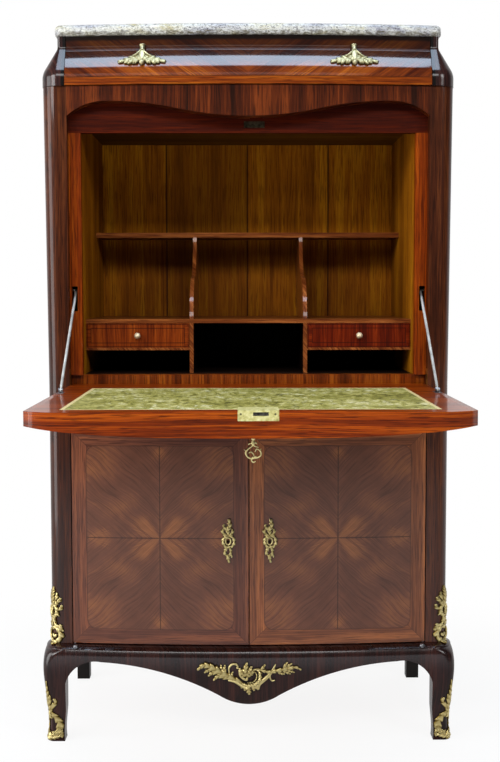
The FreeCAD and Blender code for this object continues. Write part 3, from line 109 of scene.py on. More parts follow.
class Finish:
    """A node material under construction, in the object's own coordinates in metres."""

    def __init__(self, name):
        self.material = bpy.data.materials.new(name)
        self.material.use_nodes = True
        self.tree = self.material.node_tree
        self.shader = self.tree.nodes["Principled BSDF"]
        place = self.add("ShaderNodeTexCoord")
        self.x, self.y, self.z = self.split(place.outputs["Object"])
        self.facing = self.split(place.outputs["Normal"])

    def add(self, kind, **settings):
        node = self.tree.nodes.new(kind)
        for name, value in settings.items():
            setattr(node, name, value)
        return node

    def feed(self, socket, value):
        if isinstance(value, Signal):
            value = value.socket
        if isinstance(value, bpy.types.NodeSocket):
            self.tree.links.new(value, socket)
        else:
            socket.default_value = value

    def split(self, vector):
        node = self.add("ShaderNodeSeparateXYZ")
        self.feed(node.inputs[0], vector)
        return [Signal(self, socket) for socket in node.outputs]

    def join(self, *values):
        node = self.add("ShaderNodeCombineXYZ")
        for socket, value in zip(node.inputs, values):
            self.feed(socket, value)
        return node.outputs[0]

    def math(self, operation, *values):
        node = self.add("ShaderNodeMath", operation=operation)
        for socket, value in zip(node.inputs, values):
            self.feed(socket, value)
        return Signal(self, node.outputs[0])

    def noise(self, values, detail=3.0, rough=0.55, bend=0.0):
        """Soft noise over two or three signals, about one bump to each unit."""
        flat = len(values) == 2
        node = self.add("ShaderNodeTexNoise", noise_dimensions="2D" if flat else "3D")
        self.feed(node.inputs["Vector"], self.join(*values))
        settings = (("Scale", 1.0), ("Detail", detail), ("Roughness", rough), ("Distortion", bend))
        for name, value in settings:
            node.inputs[name].default_value = value
        return Signal(self, node.outputs[0])

    def cells(self, values):
        """Distance from the middle of each cell, about one cell to each unit."""
        node = self.add("ShaderNodeTexVoronoi", feature="F1")
        self.feed(node.inputs["Vector"], self.join(*values))
        node.inputs["Scale"].default_value = 1.0
        return Signal(self, node.outputs["Distance"])

    def ramp(self, factor, tones):
        """Colours along a signal: pairs of place and #rrggbb."""
        node = self.add("ShaderNodeValToRGB")
        self.feed(node.inputs[0], factor)
        stops = node.color_ramp.elements
        while len(stops) < len(tones):
            stops.new(0.5)
        for stop, (place, tone) in zip(stops, tones):
            stop.position = place
            stop.color = linear(tone)
        return node.outputs[0]

    def mix(self, factor, first, second):
        """The first colour where the factor is 0 and the second where it is 1."""
        node = self.add("ShaderNodeMix", data_type="RGBA")
        self.feed(node.inputs[0], factor)
        self.feed(node.inputs[6], linear(first) if isinstance(first, str) else first)
        self.feed(node.inputs[7], linear(second) if isinstance(second, str) else second)
        return node.outputs[2]

    def bump(self, height, depth):
        """Bend the shading by a height, in the wood or metal and in its coat."""
        node = self.add("ShaderNodeBump")
        node.inputs["Strength"].default_value = 1.0
        node.inputs["Distance"].default_value = depth
        self.feed(node.inputs["Height"], height)
        for name in ("Normal", "Coat Normal"):
            self.feed(self.shader.inputs[name], node.outputs[0])

    def set(self, **inputs):
        """Give the shader's inputs numbers, colours or signals, by name with underscores."""
        for name, value in inputs.items():
            self.feed(self.shader.inputs[name.replace("_", " ")], value)
        return self


def grain(f, across, along, tones, figure=16, streak=240, wave=0.008):
    """Colour and relief of straight grain, from distances in metres across and along it."""
    wander = f.noise((across * 9, along * 3), detail=2)
    bent = across + (wander - 0.5) * wave
    broad = f.noise((bent * figure, along * 1.1), detail=3)
    fine = f.noise((bent * streak, along * 5), detail=4, rough=0.7)
    flecks = f.noise((bent * 460, along * 17), detail=2)
    dark, middle, light = tones
    colour = f.ramp(broad * 0.5 + fine * 0.5, ((0.34, dark), (0.5, middle), (0.66, light)))
    colour = f.mix(flecks.step(0.53, 0.66) * 0.75, colour, dark)
    return colour, fine


def polish(f, colour, relief, rough, coat, swell=0.0, gloss=0.08):
    """French polish over wood: a clear coat over the felt grain and a swelling in metres."""
    grain_depth = 0.000006
    f.set(Base_Color=colour, Roughness=relief * 0.16 + (rough - 0.08))
    f.set(Coat_Weight=coat, Coat_Roughness=gloss, Specular_IOR_Level=0.05)
    f.bump(relief * grain_depth + swell, 1.0)
    return f.material


DIRECTIONS = {"x": ("z", "y"), "y": ("x", "z"), "z": ("x", "y")}


def wood(name, tones, along="z", rough=0.4, coat=0.6, figure=16, streak=240, wave=0.008):
    """Solid wood or plain veneer, with its grain along one axis."""
    f = Finish(name)
    first, second = DIRECTIONS[along]
    across = getattr(f, first) + getattr(f, second) * 0.83
    colour, relief = grain(f, across, getattr(f, along), tones, figure, streak, wave)
    return polish(f, colour, relief, rough, coat)


def matched_leaves(f, node, axes, tones, band_tones, band, corner):
    """Four leaves of veneer matched about a face's middle, in a mitred banding with a string."""
    low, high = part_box(node)
    index = ["xyz".index(axis) for axis in axes]
    places = [getattr(f, axis) - (low[i] + high[i]) / 2 for axis, i in zip(axes, index)]
    halves = [(high[i] - low[i]) / 2 for i in index]
    u, v = (place.size() for place in places)
    across, up = places
    gap_u, gap_v = halves[0] - u, halves[1] - v

    lean = 0.85
    wander = f.noise((u * 8, v * 8), detail=2) - 0.5
    sweep = v - u * lean + wander * 0.03
    run = u + v * lean
    streaks = f.noise((sweep * 210, run * 6), detail=4, rough=0.7)
    figure = f.noise((sweep * 30, run * 3.2), detail=3)
    cloud = f.noise((u * 12, v * 12), detail=3)
    lines = f.noise((sweep * 300, run * 9), detail=2)
    value = streaks * 0.3 + figure * 0.12 + cloud * 0.4 + 0.09
    fans = (
        (u, v, 0.5, 0.75, (0.08, 0.03), 0.17),
        (halves[0] - band - u, v, 0.0, 0.9, (0.06, 0.03), 0.1),
        (halves[1] - band - v, u, 0.2, 0.9, (0.05, 0.02), 0.09),
    )
    for along, over, middle_angle, spread, limits, gain in fans:
        angle = f.math("ARCTAN2", over, along)
        length = f.math("SQRT", along * along + over * over)
        rays = f.noise((angle * 16, length * 8), detail=3, rough=0.65)
        petal = (angle - middle_angle).size().step(spread, spread * 0.3) * length.step(*limits)
        value = value + petal * (rays - 0.5) * 0.5 + petal * gain
        lines = lines + petal * (rays - 0.5) * 0.3
    dark, middle, pale = tones
    field = f.ramp(value, ((0.28, dark), (0.5, middle), (0.76, pale)))
    field = f.mix(lines.step(0.54, 0.68) * 0.42, field, "#2a150c")
    seam = u.least(v).step(0.0013, 0.0006)
    field = f.mix(seam * 0.75, field, "#1e0e08")

    upright, _ = grain(f, across, up, band_tones, 30, 190)
    level, _ = grain(f, up, across, band_tones, 30, 190)
    is_upright = (gap_v - gap_u).step(-0.0002, 0.0002)
    banding = f.mix(is_upright, level, upright)
    mitre = (gap_u - gap_v).size().step(0.0012, 0.0005)
    banding = f.mix(mitre * 0.7, banding, band_tones[0])

    over_u = u - (halves[0] - band - corner)
    over_v = v - (halves[1] - band - corner)
    reach_u, reach_v = over_u.most(0), over_v.most(0)
    rounded = f.math("SQRT", reach_u * reach_u + reach_v * reach_v)
    beyond = rounded + over_u.most(over_v).least(0) - corner
    colour = f.mix(beyond.step(-0.0002, 0.0002), field, banding)
    string = beyond.size().step(0.0016, 0.0006)
    return f.mix(string * 0.4, colour, "#24120c"), streaks


def panel_veneer(name, node, axes, band_tones, band):
    """A face of matched leaves, with plain veneer on its edges."""
    f = Finish(name)
    colour, streaks = matched_leaves(f, node, axes, PANEL, band_tones, band, CORNER)
    out = f.facing["xyz".index(({"x", "y", "z"} - set(axes)).pop())].size().step(0.3, 0.5)
    edges, _ = grain(f, f.x + f.y * 0.83, f.z, REDDISH)
    colour = f.mix(out, edges, colour)
    return polish(f, colour, streaks, 0.42, 0.5)


def drawer_veneer():
    """Frieze veneer laid on the slant from both ends to the middle, over a plain lower band, with
    painted shade under the marble.
    """
    f = Finish("frieze_veneer")
    low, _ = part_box("frieze_drawer_front")
    height = f.z - low.z
    lean = 0.7
    slant = f.z - f.x.size() * lean
    field, relief = grain(f, slant, f.x.size() + f.z * lean, FRIEZE, 20, 330, 0.006)
    # Painted shade: the upper part of the front is darkened towards near-black, and its top edge is
    # painted nearly black as the marble's shadow.
    field = f.mix(height.step(0.028, 0.052) * 0.84, field, "#140401")
    field = f.mix(height.step(0.088, 0.094) * 0.9, field, "#050201")
    band, _ = grain(f, f.z, f.x, FRIEZE_BAND, 40, 330, 0.004)
    colour = f.mix(height.step(0.0155, 0.015), field, band)
    line = (height - 0.0152).size().step(0.0012, 0.0005)
    colour = f.mix(line * 0.6, colour, "#200802")

    middle, reach, curve = 0.0525, 0.0175, -4.2
    place = height - middle
    bulge = place.least(reach).most(-reach)
    below = (place + reach).least(0.0).most(-0.008)
    swell = bulge * bulge * curve + below * (-2 * curve * reach)
    coat = place.size().step(0.0195, 0.0155) * 0.84 + 0.06
    return polish(f, colour, relief, 0.36, coat, swell)


def small_drawer_veneer(side):
    """Veneer crossbanded round the edge, between two dark strings."""
    f = Finish(f"small_drawer_veneer_{side}")
    low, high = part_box(f"small_drawer_{side}")
    gap_x = (high.x - low.x) / 2 - (f.x - (low.x + high.x) / 2).size()
    gap_z = (high.z - low.z) / 2 - (f.z - (low.z + high.z) / 2).size()
    tones = SMALL_DRAWER[side]
    field, relief = grain(f, f.x, f.z, tones, 40, 210)
    ends, _ = grain(f, f.z, f.x, tones, 60, 260)
    edge = gap_x.least(gap_z)
    banding = f.mix((gap_x - gap_z).step(-0.0001, 0.0001), ends, field)
    colour = f.mix(edge.step(0.0102, 0.0098), field, banding)
    for place in (0.0022, 0.01):
        colour = f.mix((edge - place).size().step(0.0011, 0.0005) * 0.8, colour, "#260a04")
    oak, _ = grain(f, f.x + f.z, f.y, OAK, 24, 170)
    colour = f.mix((f.facing[1] * -1).step(0.4, 0.6), oak, colour)
    return polish(f, colour, relief, 0.4, 0.25)


def flap_veneer():
    """Honey-coloured veneer along the fall-front, and on its outside leaves like the doors'."""
    f = Finish("flap_veneer")
    _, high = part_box("flap_panel")
    level = f.facing[2].size().step(0.4, 0.6)
    colour, relief = grain(f, f.z + f.y * level, f.x, HONEY, 60, 330, 0.003)
    leaves, _ = matched_leaves(f, "flap_panel", "xy", PANEL, PANEL_BAND["left"], WIDE_BAND, CORNER)
    colour = f.mix((f.facing[2] * -1).step(0.4, 0.6), colour, leaves)
    rounding = 0.011
    end = (high.x - f.x.size()).least(rounding) - rounding
    return polish(f, colour, relief, 0.4, 0.35, end * end * -45)


def apron_wood():
    """Near-black rosewood of the apron and legs, rolled over at the shoulder."""
    f = Finish("rosewood")
    _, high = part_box("front_apron")
    colour, relief = grain(f, f.x + f.y * 0.83, f.z, ROSEWOOD, 30, 160)
    shoulder = 0.026
    roll = (f.z - (high.z - shoulder)).most(0.0)
    coat = f.z.step(high.z - 0.06, high.z - 0.02) * 0.5 + 0.3
    return polish(f, colour, relief, 0.4, coat, roll * roll * -16, 0.2)


def corner_veneer(side, sign):
    """A frieze corner block, with painted shade where it meets the drawer."""
    f = Finish(f"corner_veneer_{side}")
    low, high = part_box(f"frieze_corner_{side}")
    colour, relief = grain(f, f.x + f.y * 0.83, f.z, ROSEWOOD, 34, 200)
    inner = low.x if sign > 0 else high.x
    # Painted shade: near-black along the edge beside the drawer, for the shade in the gap.
    colour = f.mix((f.x - inner).size().step(0.0075, 0.0045), colour, "#070302")
    return polish(f, colour, relief, 0.4, 0.6, 0.0, 0.14)


def nest_wood():
    """The pigeonholes: bare mahogany, whose inside behind its front edges is painted near-black as
    shade.
    """
    f = Finish("nest_wood")
    low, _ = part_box("nest_frame")
    colour, relief = grain(f, f.x + f.z * 0.83, f.y, MAHOGANY, 40, 240)
    depth = f.y - low.y
    # Painted shade: near-black from just behind the front edges inwards.
    colour = f.mix(depth.step(0.004, 0.03), colour, "#120806")
    return polish(f, colour, relief, 0.5, 0.2)


def marble():
    """Cream breccia, speckled grey and brown, with ochre in its veins."""
    f = Finish("marble")
    x, y, z = f.x, f.y, f.z
    low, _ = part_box("marble_top")
    cloud = f.noise((x * 16, y * 16, z * 40), detail=5, rough=0.65, bend=0.7)
    speck = f.noise((x * 240, y * 240, z * 430), detail=5, rough=0.8)
    grit = f.noise((x * 90, y * 90, z * 160), detail=4, rough=0.8, bend=0.5)
    colour = f.ramp(
        cloud,
        ((0.34, "#77767e"), (0.45, "#a8a7a6"), (0.58, "#bcbaae"), (0.72, "#9c9164")),
    )
    colour = f.mix(grit.step(0.54, 0.62) * 0.5, colour, "#6d6748")
    colour = f.mix(speck.step(0.52, 0.58) * 0.9, colour, "#38353c")
    colour = f.mix(speck.step(0.42, 0.34) * 0.6, colour, "#d6d4cc")
    foot = (z - low.z).step(0.011, 0.006)
    colour = f.mix(foot * (grit.step(0.4, 0.56) * 0.7 + 0.1), colour, "#3a3014")
    f.set(Base_Color=colour, Roughness=cloud * 0.2 + 0.2, Specular_IOR_Level=0.5)
    f.bump(speck, 0.00025)
    return f.material


def leather():
    """Olive morocco, pale in streaks along the desk, with a gilt tooled border."""
    f = Finish("green_leather")
    low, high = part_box("writing_leather")
    gap_x = (high.x - low.x) / 2 - (f.x - (low.x + high.x) / 2).size()
    gap_y = (high.y - low.y) / 2 - (f.y - (low.y + high.y) / 2).size()
    edge = gap_x.least(gap_y)
    streaking = f.noise((f.x * 62, f.y * 26), detail=6, rough=0.75, bend=0.5)
    patch = f.noise((f.x * 5, f.y * 7), detail=3)
    pale_marks = f.noise((f.x * 46, f.y * 22), detail=6, rough=0.8)
    skin = f.cells((f.x * 900, f.y * 900, 0.0))
    colour = f.ramp(
        streaking * 0.75 + patch * 0.25,
        ((0.36, "#504c14"), (0.47, "#807a30"), (0.56, "#a59d56"), (0.68, "#cbc292")),
    )
    colour = f.mix(skin.step(0.5, 0.9) * 0.25, colour, "#3c3a12")
    colour = f.mix(pale_marks.step(0.52, 0.68) * patch.step(0.38, 0.58) * 0.85, colour, "#d2cca8")
    worn = f.noise((f.x * 120, f.y * 120), detail=2).step(0.24, 0.44)
    gilt = edge.step(0.0075, 0.0062) * worn
    colour = f.mix(gilt, colour, "#dcc88e")
    f.set(Base_Color=colour, Roughness=0.62 - gilt * 0.2 - streaking * 0.1, Metallic=gilt * 0.2)
    f.set(Specular_IOR_Level=0.35)
    f.bump(skin * -1 + streaking * 0.3, 0.00018)
    return f.material


def gilt(name, tones=("#1a1204", "#74602e", "#cbbb84"), rough=0.32):
    """Fire-gilt bronze, bright where it stands proud and dull in the hollows."""
    f = Finish(name)
    relief = Signal(f, f.add("ShaderNodeAttribute", attribute_name="relief").outputs["Fac"])
    wear = f.noise((f.x * 170, f.y * 170, f.z * 170), detail=4, rough=0.6)
    value = relief * 0.75 + wear * 0.25
    dark, middle, light = tones
    colour = f.ramp(value, ((0.22, dark), (0.48, middle), (0.82, light)))
    f.set(Base_Color=colour, Metallic=1.0, Roughness=rough + 0.22 - value * 0.24)
    f.bump(wear, 0.0003)
    return f.material


def metal(name, dark, light, rough=0.3, scale=120, shine=1.0):
    """Plain worked metal, with a little tarnish and fine scratches."""
    f = Finish(name)
    tarnish = f.noise((f.x * scale, f.y * scale, f.z * scale), detail=4, rough=0.6)
    scratch = f.noise((f.x * 60, f.y * 900, f.z * 900), detail=2)
    colour = f.ramp(tarnish, ((0.3, dark), (0.6, light)))
    f.set(Base_Color=colour, Metallic=shine)
    f.set(Roughness=tarnish * 0.2 + scratch * 0.1 + (rough - 0.12))
    f.bump(scratch, 0.00005)
    return f.material


def lock_brass():
    """The lock's pale brass, with the dark heads of its screws."""
    f = Finish("lock_brass")
    low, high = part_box("flap_lock")
    tarnish = f.noise((f.x * 130, f.y * 130, f.z * 130), detail=4, rough=0.6)
    colour = f.ramp(tarnish, ((0.34, "#a89f5a"), (0.5, "#cbc480"), (0.66, "#dcd69e")))
    screws = ((0.06, 0.006), (0.028, 0.02), (0.04, 0.02), (0.005, 0.006))
    for across, down in screws:
        side, rise = f.x - (low.x + across), f.z - (high.z - down)
        head = (side * side + rise * rise).step(0.0000042, 0.000002)
        colour = f.mix(head * 0.85, colour, "#3a3418")
    f.set(Base_Color=colour, Metallic=0.35, Roughness=tarnish * 0.3 + 0.34)
    f.bump(tarnish, 0.0001)
    return f.material


def boards(name, tones, node, count):
    """Upright oak boards, each a little different in tone, with painted shade under the upper shelf
    and near-black painted shade in the nest, and dull outside.
    """
    f = Finish(name)
    low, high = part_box(node)
    board = (f.x - low.x) / ((high.x - low.x) / count)
    number = board.floor()
    shift = f.noise((number * 3.7 + 0.4, number * 1.3), detail=0)
    across = f.x + f.y * 0.83 + number * 0.37
    colour, relief = grain(f, across, f.z, tones, 26, 170)
    colour = f.mix(shift.step(0.35, 0.65) * 0.45, colour, tones[0])
    place = board - number
    seam = place.least(1.0 - place).step(0.012, 0.006)
    colour = f.mix(seam * 0.8, colour, "#1c0c02")
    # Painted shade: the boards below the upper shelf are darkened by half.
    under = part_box("upper_shelf")[0].z
    colour = f.mix(f.z.step(under, under - 0.03) * 0.5, colour, "#3e1402")
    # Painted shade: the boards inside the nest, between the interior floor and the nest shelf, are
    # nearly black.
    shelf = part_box("nest_shelf")[0].z
    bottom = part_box("interior_floor")[0].z
    nest = f.z.step(shelf, shelf - 0.004) * f.z.step(bottom - 0.004, bottom)
    colour = f.mix(nest, colour, "#0a0503")
    outside, _ = grain(f, across, f.z, BACK, 26, 170)
    colour = f.mix(f.facing[1].step(0.4, 0.6), colour, outside)
    return polish(f, colour, relief, 0.5, 0.0)


def dress(material, *names):
    """Give CAD nodes a finish."""
    for name in names:
        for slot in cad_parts[name].material_slots:
            slot.material = material


# Tones of each wood: dark, middle and light
OAK = ("#723f04", "#ac650a", "#d08c14")
# Painted shade: the oak darkened for the inside walls, which stand in shade.
LINING_SHADE = ("#5a3004", "#8a5008", "#aa7010")
# Painted shade: the oak darkened further for the inside ceiling.
CEILING_SHADE = ("#3c2408", "#5c3a0e", "#745018")
ROSEWOOD = ("#100605", "#23100e", "#3a1d17")
POST = ("#200b04", "#3c1909", "#582c12")
REDDISH = ("#1c0802", "#421705", "#682d0e")
STOP = ("#260601", "#3a0c01", "#501601")
STILE = ("#4a1602", "#782c03", "#a04c08")
HONEY = ("#3c0f01", "#782a02", "#a64c08")
MAHOGANY = ("#461a08", "#723a16", "#a2602e")
PANEL = ("#482718", "#603826", "#905830")
PANEL_BAND = {
    "left": ("#3e1e13", "#5b3120", "#80482b"),
    "right": ("#4a2613", "#703e22", "#9c5c30"),
}
SMALL_DRAWER = {
    "left": ("#481603", "#722c07", "#95450f"),
    "right": ("#380b02", "#581503", "#762606"),
}
FRIEZE = ("#320c02", "#6c2c06", "#9a5212")
FRIEZE_BAND = ("#481602", "#763206", "#a05810")
FLOOR_RAIL = ("#3c1402", "#6c2c06", "#8e480e")
BACK = ("#2c1c10", "#46301c", "#5e452c")
DARK_LEG = ("#080606", "#120d0b", "#1e1613")
# Painted shade: near-black wood for the inside floor, which lies in shade.
INSIDE_FLOOR_SHADE = ("#0a0503", "#140a06", "#22120a")

# Widths of the veneered panels' banding and the radius of its corners, in metres
DOOR_BAND, WIDE_BAND, CORNER = 0.03, 0.045, 0.02

dress(marble(), "marble_top")
dress(wood("post_veneer", POST, "z", 0.4, 0.42, 34, 200), "front_post_left", "front_post_right")
dress(apron_wood(), "front_leg_left", "front_leg_right", "front_apron")
rosewood_deep = wood("rosewood_deep", ROSEWOOD, "y", 0.4, 0.6, 30, 160)
dress(rosewood_deep, "frieze_side_left", "frieze_side_right", "side_aprons")
dress(wood("rosewood_level", ROSEWOOD, "x", 0.4, 0.6, 30, 160), "mid_rail")
dress(drawer_veneer(), "frieze_drawer_front")
dress(wood("cross_veneer", REDDISH, "z", 0.4, 0.35, 36, 240), "serpentine_rail")
dress(wood("floor_veneer", FLOOR_RAIL, "z", 0.4, 0.2, 40, 240), "floor_rail")
dress(wood("stop_mahogany", STOP, "x", 0.5, 0.0, 40, 260), "stop_board")
dress(wood("stile_veneer", STILE, "z", 0.4, 0.2, 50, 260), "rebate_stiles")
dress(flap_veneer(), "flap_panel")
dress(boards("back_oak", OAK, "back_boards", 4), "back_boards")
# The inside walls take the oak darkened as painted shade.
dress(wood("lining_oak_shade", LINING_SHADE, "z", 0.6, 0.0), "interior_linings")
dress(wood("dark_legs", DARK_LEG, "z", 0.6, 0.2), "rear_stile_left", "rear_stile_right")
dress(wood("level_oak", OAK, "x", 0.6, 0.0), "top_board", "bottom_board")
# The inside ceiling and floor take darker copies of the wood as painted shade.
dress(wood("ceiling_oak_shade", CEILING_SHADE, "x", 0.6, 0.0), "interior_ceiling")
dress(wood("inside_floor_shade", INSIDE_FLOOR_SHADE, "x", 0.6, 0.0), "interior_floor")
deep_oak = wood("deep_oak", OAK, "y", 0.6, 0.0)
dress(deep_oak, "frieze_drawer_box", "drawer_dust_board", "cupboard_shelf")
dress(wood("shelf_mahogany", MAHOGANY, "x", 0.4, 0.3, 40, 240), "upper_shelf", "nest_shelf")
partition_mahogany = wood("partition_mahogany", MAHOGANY, "z", 0.4, 0.5, 40, 240)
dress(partition_mahogany, "partition_left", "partition_right")
dress(nest_wood(), "nest_frame")
dress(leather(), "writing_leather")
dress(lock_brass(), "flap_lock")
dress(metal("dark_brass", "#120f0b", "#4c4434", 0.4), "strike_plate")
dress(metal("brass", "#7a6428", "#bfa35a", 0.34), "flap_pivots", "door_lock")
knob_brass = metal("knob_brass", "#b49a72", "#e6d6b4", 0.4, 120, 0.5)
dress(knob_brass, "small_drawer_left_knob", "small_drawer_right_knob")
dress(metal("steel", "#96948e", "#c8c6c0", 0.4, 24, 0.5), "stay_rod_left", "stay_rod_right")
dress(metal("bolt_steel", "#26241f", "#6c6860", 0.3), "flap_bolt", "door_lock_bolt")
iron = metal("iron", "#2a2a2c", "#8e8e92", 0.34)
dress(iron, "door_pivots", "stay_plates")
for side, sign in SIDES:
    door = f"door_{side}"
    panel = f"side_panel_{side}"
    dress(panel_veneer(f"door_veneer_{side}", door, "xz", PANEL_BAND[side], DOOR_BAND), door)
    dress(panel_veneer(f"side_veneer_{side}", panel, "yz", PANEL_BAND[side], WIDE_BAND), panel)
    dress(small_drawer_veneer(side), f"small_drawer_{side}")
    dress(corner_veneer(side, sign), f"frieze_corner_{side}")


# Gilt mounts: strokes of cast ornament laid on the faces that carry them


class Carrier:
    """Takes ornament coordinates (across, up, out) in millimetres to the faces of some nodes."""

    def __init__(self, names, origin, facing):
        corners, faces = [], []
        for name in names:
            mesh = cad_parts[name].data
            start = len(corners)
            corners += [corner.co.copy() for corner in mesh.vertices]
            faces += [[start + index for index in face.vertices] for face in mesh.polygons]
        self.tree = BVHTree.FromPolygons(corners, faces)
        self.origin = Vector(origin)
        self.facing = Vector(facing).normalized()
        self.across = UP.cross(self.facing)

    def __call__(self, across, up, out):
        reach = 0.2
        flat = self.origin + (self.across * across + UP * up) * MM
        hit, normal, _, _ = self.tree.ray_cast(flat + self.facing * reach, -self.facing)
        if hit is None:
            hit, normal, _, _ = self.tree.find_nearest(flat)
        if normal.dot(self.facing) < 0:
            normal = self.facing
        return hit + (normal + self.facing).normalized() * out * MM


def smooth_line(points, count):
    """Points along a curve that runs smoothly through the given ones."""
    points = [Vector(point) for point in points]
    ends = [points[0] * 2 - points[1]] + points + [points[-1] * 2 - points[-2]]
    line = []
    for step in range(count + 1):
        place = step / count * (len(points) - 1)
        index = min(int(place), len(points) - 2)
        t = place - index
        a, b, c, e = ends[index:index + 4]
        slope, bend, twist = c - a, a * 2 - b * 5 + c * 4 - e, b * 3 - a - c * 3 + e
        line.append((b * 2 + slope * t + bend * t * t + twist * t ** 3) / 2)
    return line


class Relief:
    """Cast ornament: strokes in millimetres, set on a carrier and joined into one mesh."""

    def __init__(self, name):
        self.name = name
        self.corners, self.faces, self.tones = [], [], []
        self.place, self.side, self.fullness = None, 1, 1.0

    def on(self, place, side=1):
        """Put what follows on a carrier, turned over where side is -1."""
        self.place, self.side = place, side
        return self

    def stroke(self, spine, widths, height, lobes=0, groove=0.0, sink=1.0, around=14):
        """A tapered stroke along a spine. Lobes make it a toothed leaf, and a groove its midrib."""
        thinnest = 0.3
        count = max(12, 5 * len(spine), 7 * lobes)
        line = smooth_line(spine, count)
        first, middle, last = widths
        bulge = middle * 2 - (first + last) / 2
        widest = max(widths)
        start = len(self.corners)
        for index, point in enumerate(line):
            t = index / count
            ahead = (line[min(index + 1, count)] - line[max(index - 1, 0)]).normalized()
            normal = Vector((-ahead.y, ahead.x))
            width = (1 - t) ** 2 * first + 2 * t * (1 - t) * bulge + t * t * last
            half = max(width, thinnest) * self.fullness
            along = (lobes * t) % 1.0 if lobes else 1.0
            tooth = 0.66 + 0.34 * along ** 0.8
            notch = 0.6 * (1 - along) ** 2.4
            crown = height * (0.4 + 0.6 * half / widest)
            for turn in range(around):
                angle = 2 * math.pi * turn / around
                out, lift = math.cos(angle), math.sin(angle)
                rib = 1 - groove * math.exp(-(out / 0.25) ** 2)
                vein = 1 - notch * abs(out)
                rise = crown * lift ** 0.75 * rib * vein if lift > 0 else sink * lift
                forward = half * 0.8 * abs(out) if lobes else 0.0
                spot = point + normal * out * half * tooth + ahead * forward
                self.corners.append(self.place(spot.x * self.side, spot.y, rise))
                shown = abs(lift) if sink > 1 else max(0.0, lift)
                self.tones.append(shown ** 0.6 * rib * vein ** 2)
        for index in range(count):
            low, high = start + index * around, start + (index + 1) * around
            for turn in range(around):
                after = (turn + 1) % around
                self.face(low + turn, low + after, high + after, high + turn)
        last_ring = start + count * around
        self.face(*range(start + around - 1, start - 1, -1))
        self.face(*range(last_ring, last_ring + around))
        return self

    def face(self, *corners):
        self.faces.append(corners[::-1] if self.side < 0 else corners)

    def bead(self, across, up, radius, height):
        spine = [(across, up + radius), (across, up), (across, up - radius)]
        return self.stroke(spine, (radius * 0.25, radius * 1.1, radius * 0.25), height)

    def cast(self, material, body, *nodes):
        """Make the mesh, and let it stand for its CAD nodes."""
        mesh = bpy.data.meshes.new(self.name)
        mesh.from_pydata(self.corners, [], self.faces)
        mesh.polygons.foreach_set("use_smooth", [True] * len(mesh.polygons))
        tone = mesh.attributes.new("relief", "FLOAT", "POINT")
        tone.data.foreach_set("value", self.tones)
        mesh.materials.append(material)
        piece = bpy.data.objects.new(self.name, mesh)
        bpy.context.scene.collection.objects.link(piece)
        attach(piece, body)
        if nodes:
            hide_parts(*nodes)
        return piece


LEAF = 0.42
gilt_bronze = gilt("gilt_bronze")


def middle_of(node):
    low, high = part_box(node)
    return (low + high) / 2


def model_pulls():
    """Two leaf pulls: a knopped stem over a spray of drooping leaves."""
    pulls = Relief("gilt_pulls")
    low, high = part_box("drawer_pulls")
    length, drop = 92 * MM, 3 * MM
    for _, sign in SIDES:
        centre = ((high.x - length / 2) * sign, low.y, (low.z + high.z) / 2 - drop)
        carrier = Carrier(["frieze_drawer_front"], centre, FRONT)
        for side in (1, -1):
            pulls.on(carrier, side)
            pulls.stroke([(0, 8), (9, -2), (24, -9), (46, -14)], (6, 8, 3), 9, 5, LEAF)
            pulls.stroke([(1, 2), (10, -9), (22, -14), (34, -15)], (6, 7, 3), 10, 4, LEAF)
            pulls.stroke([(1, 0), (6, -9), (13, -15)], (5, 6, 4), 11, 2, LEAF)
            pulls.stroke([(2, 9), (9, 1), (20, -6)], (2, 2.4, 1), 12)
        pulls.on(carrier)
        pulls.stroke([(0, 12), (0, 2), (0, -12)], (4.5, 8, 6), 12, 0, 0.2)
        pulls.bead(0, -16, 5.4, 12)
        pulls.stroke([(0, 23), (0, 16), (0, 9)], (6.6, 5, 5.6), 13)
    pale_gilt = gilt("pale_gilt", ("#211d10", "#867f58", "#bcb692"), 0.5)
    pulls.cast(pale_gilt, "frieze_drawer", "drawer_pulls")


def model_escutcheon(side):
    """A cartouche round the keyhole, between a tall leaf and a drop."""
    node = f"escutcheon_{side}"
    plate = Relief(f"gilt_escutcheon_{side}")
    plate.on(Carrier([f"door_{side}"], middle_of(node), FRONT))
    plate.stroke([(2, 11), (-7, 8), (-10, 0), (-6, -9), (1, -11)], (3, 4.6, 3), 5, 5)
    plate.stroke([(1, 11), (9, 9), (12, -1), (8, -9), (1, -10)], (3, 4.4, 3), 5, 5)
    plate.stroke([(0, 8), (-4.6, 5), (-4.6, -3), (0, -7)], (1.6, 1.8, 1.6), 3.4)
    plate.stroke([(0, 8), (4.6, 5), (4.6, -3), (0, -7)], (1.6, 1.8, 1.6), 3.4)
    plate.stroke([(0, 12), (0, 22), (3, 32), (2, 45)], (4, 6, 3), 6, 4, LEAF)
    plate.stroke([(0, 20), (-5, 26), (-9, 31), (-7, 35)], (3, 3.4, 1.4), 4.5, 2, LEAF)
    plate.stroke([(0, 12), (-7, 15), (-11, 21), (-8, 25)], (4, 4.4, 1.6), 5, 3, LEAF)
    plate.stroke([(0, 12), (6, 15), (9, 21), (7, 25)], (3.6, 4, 1.6), 5, 3, LEAF)
    plate.stroke([(0, -10), (-5, -17), (-6, -25), (0, -31)], (4, 4, 2), 5, 3, LEAF)
    plate.stroke([(1, -10), (5, -18), (4, -26), (0, -31)], (3.4, 3.6, 2), 5, 3, LEAF)
    plate.stroke([(0, -25), (0, -34), (2, -43)], (4, 4, 1.4), 5, 2, LEAF)
    plate.stroke([(2, -27), (7, -29), (7, -33)], (1.8, 2, 1.2), 3)
    plate.cast(gilt_bronze, f"{side}_door", node)


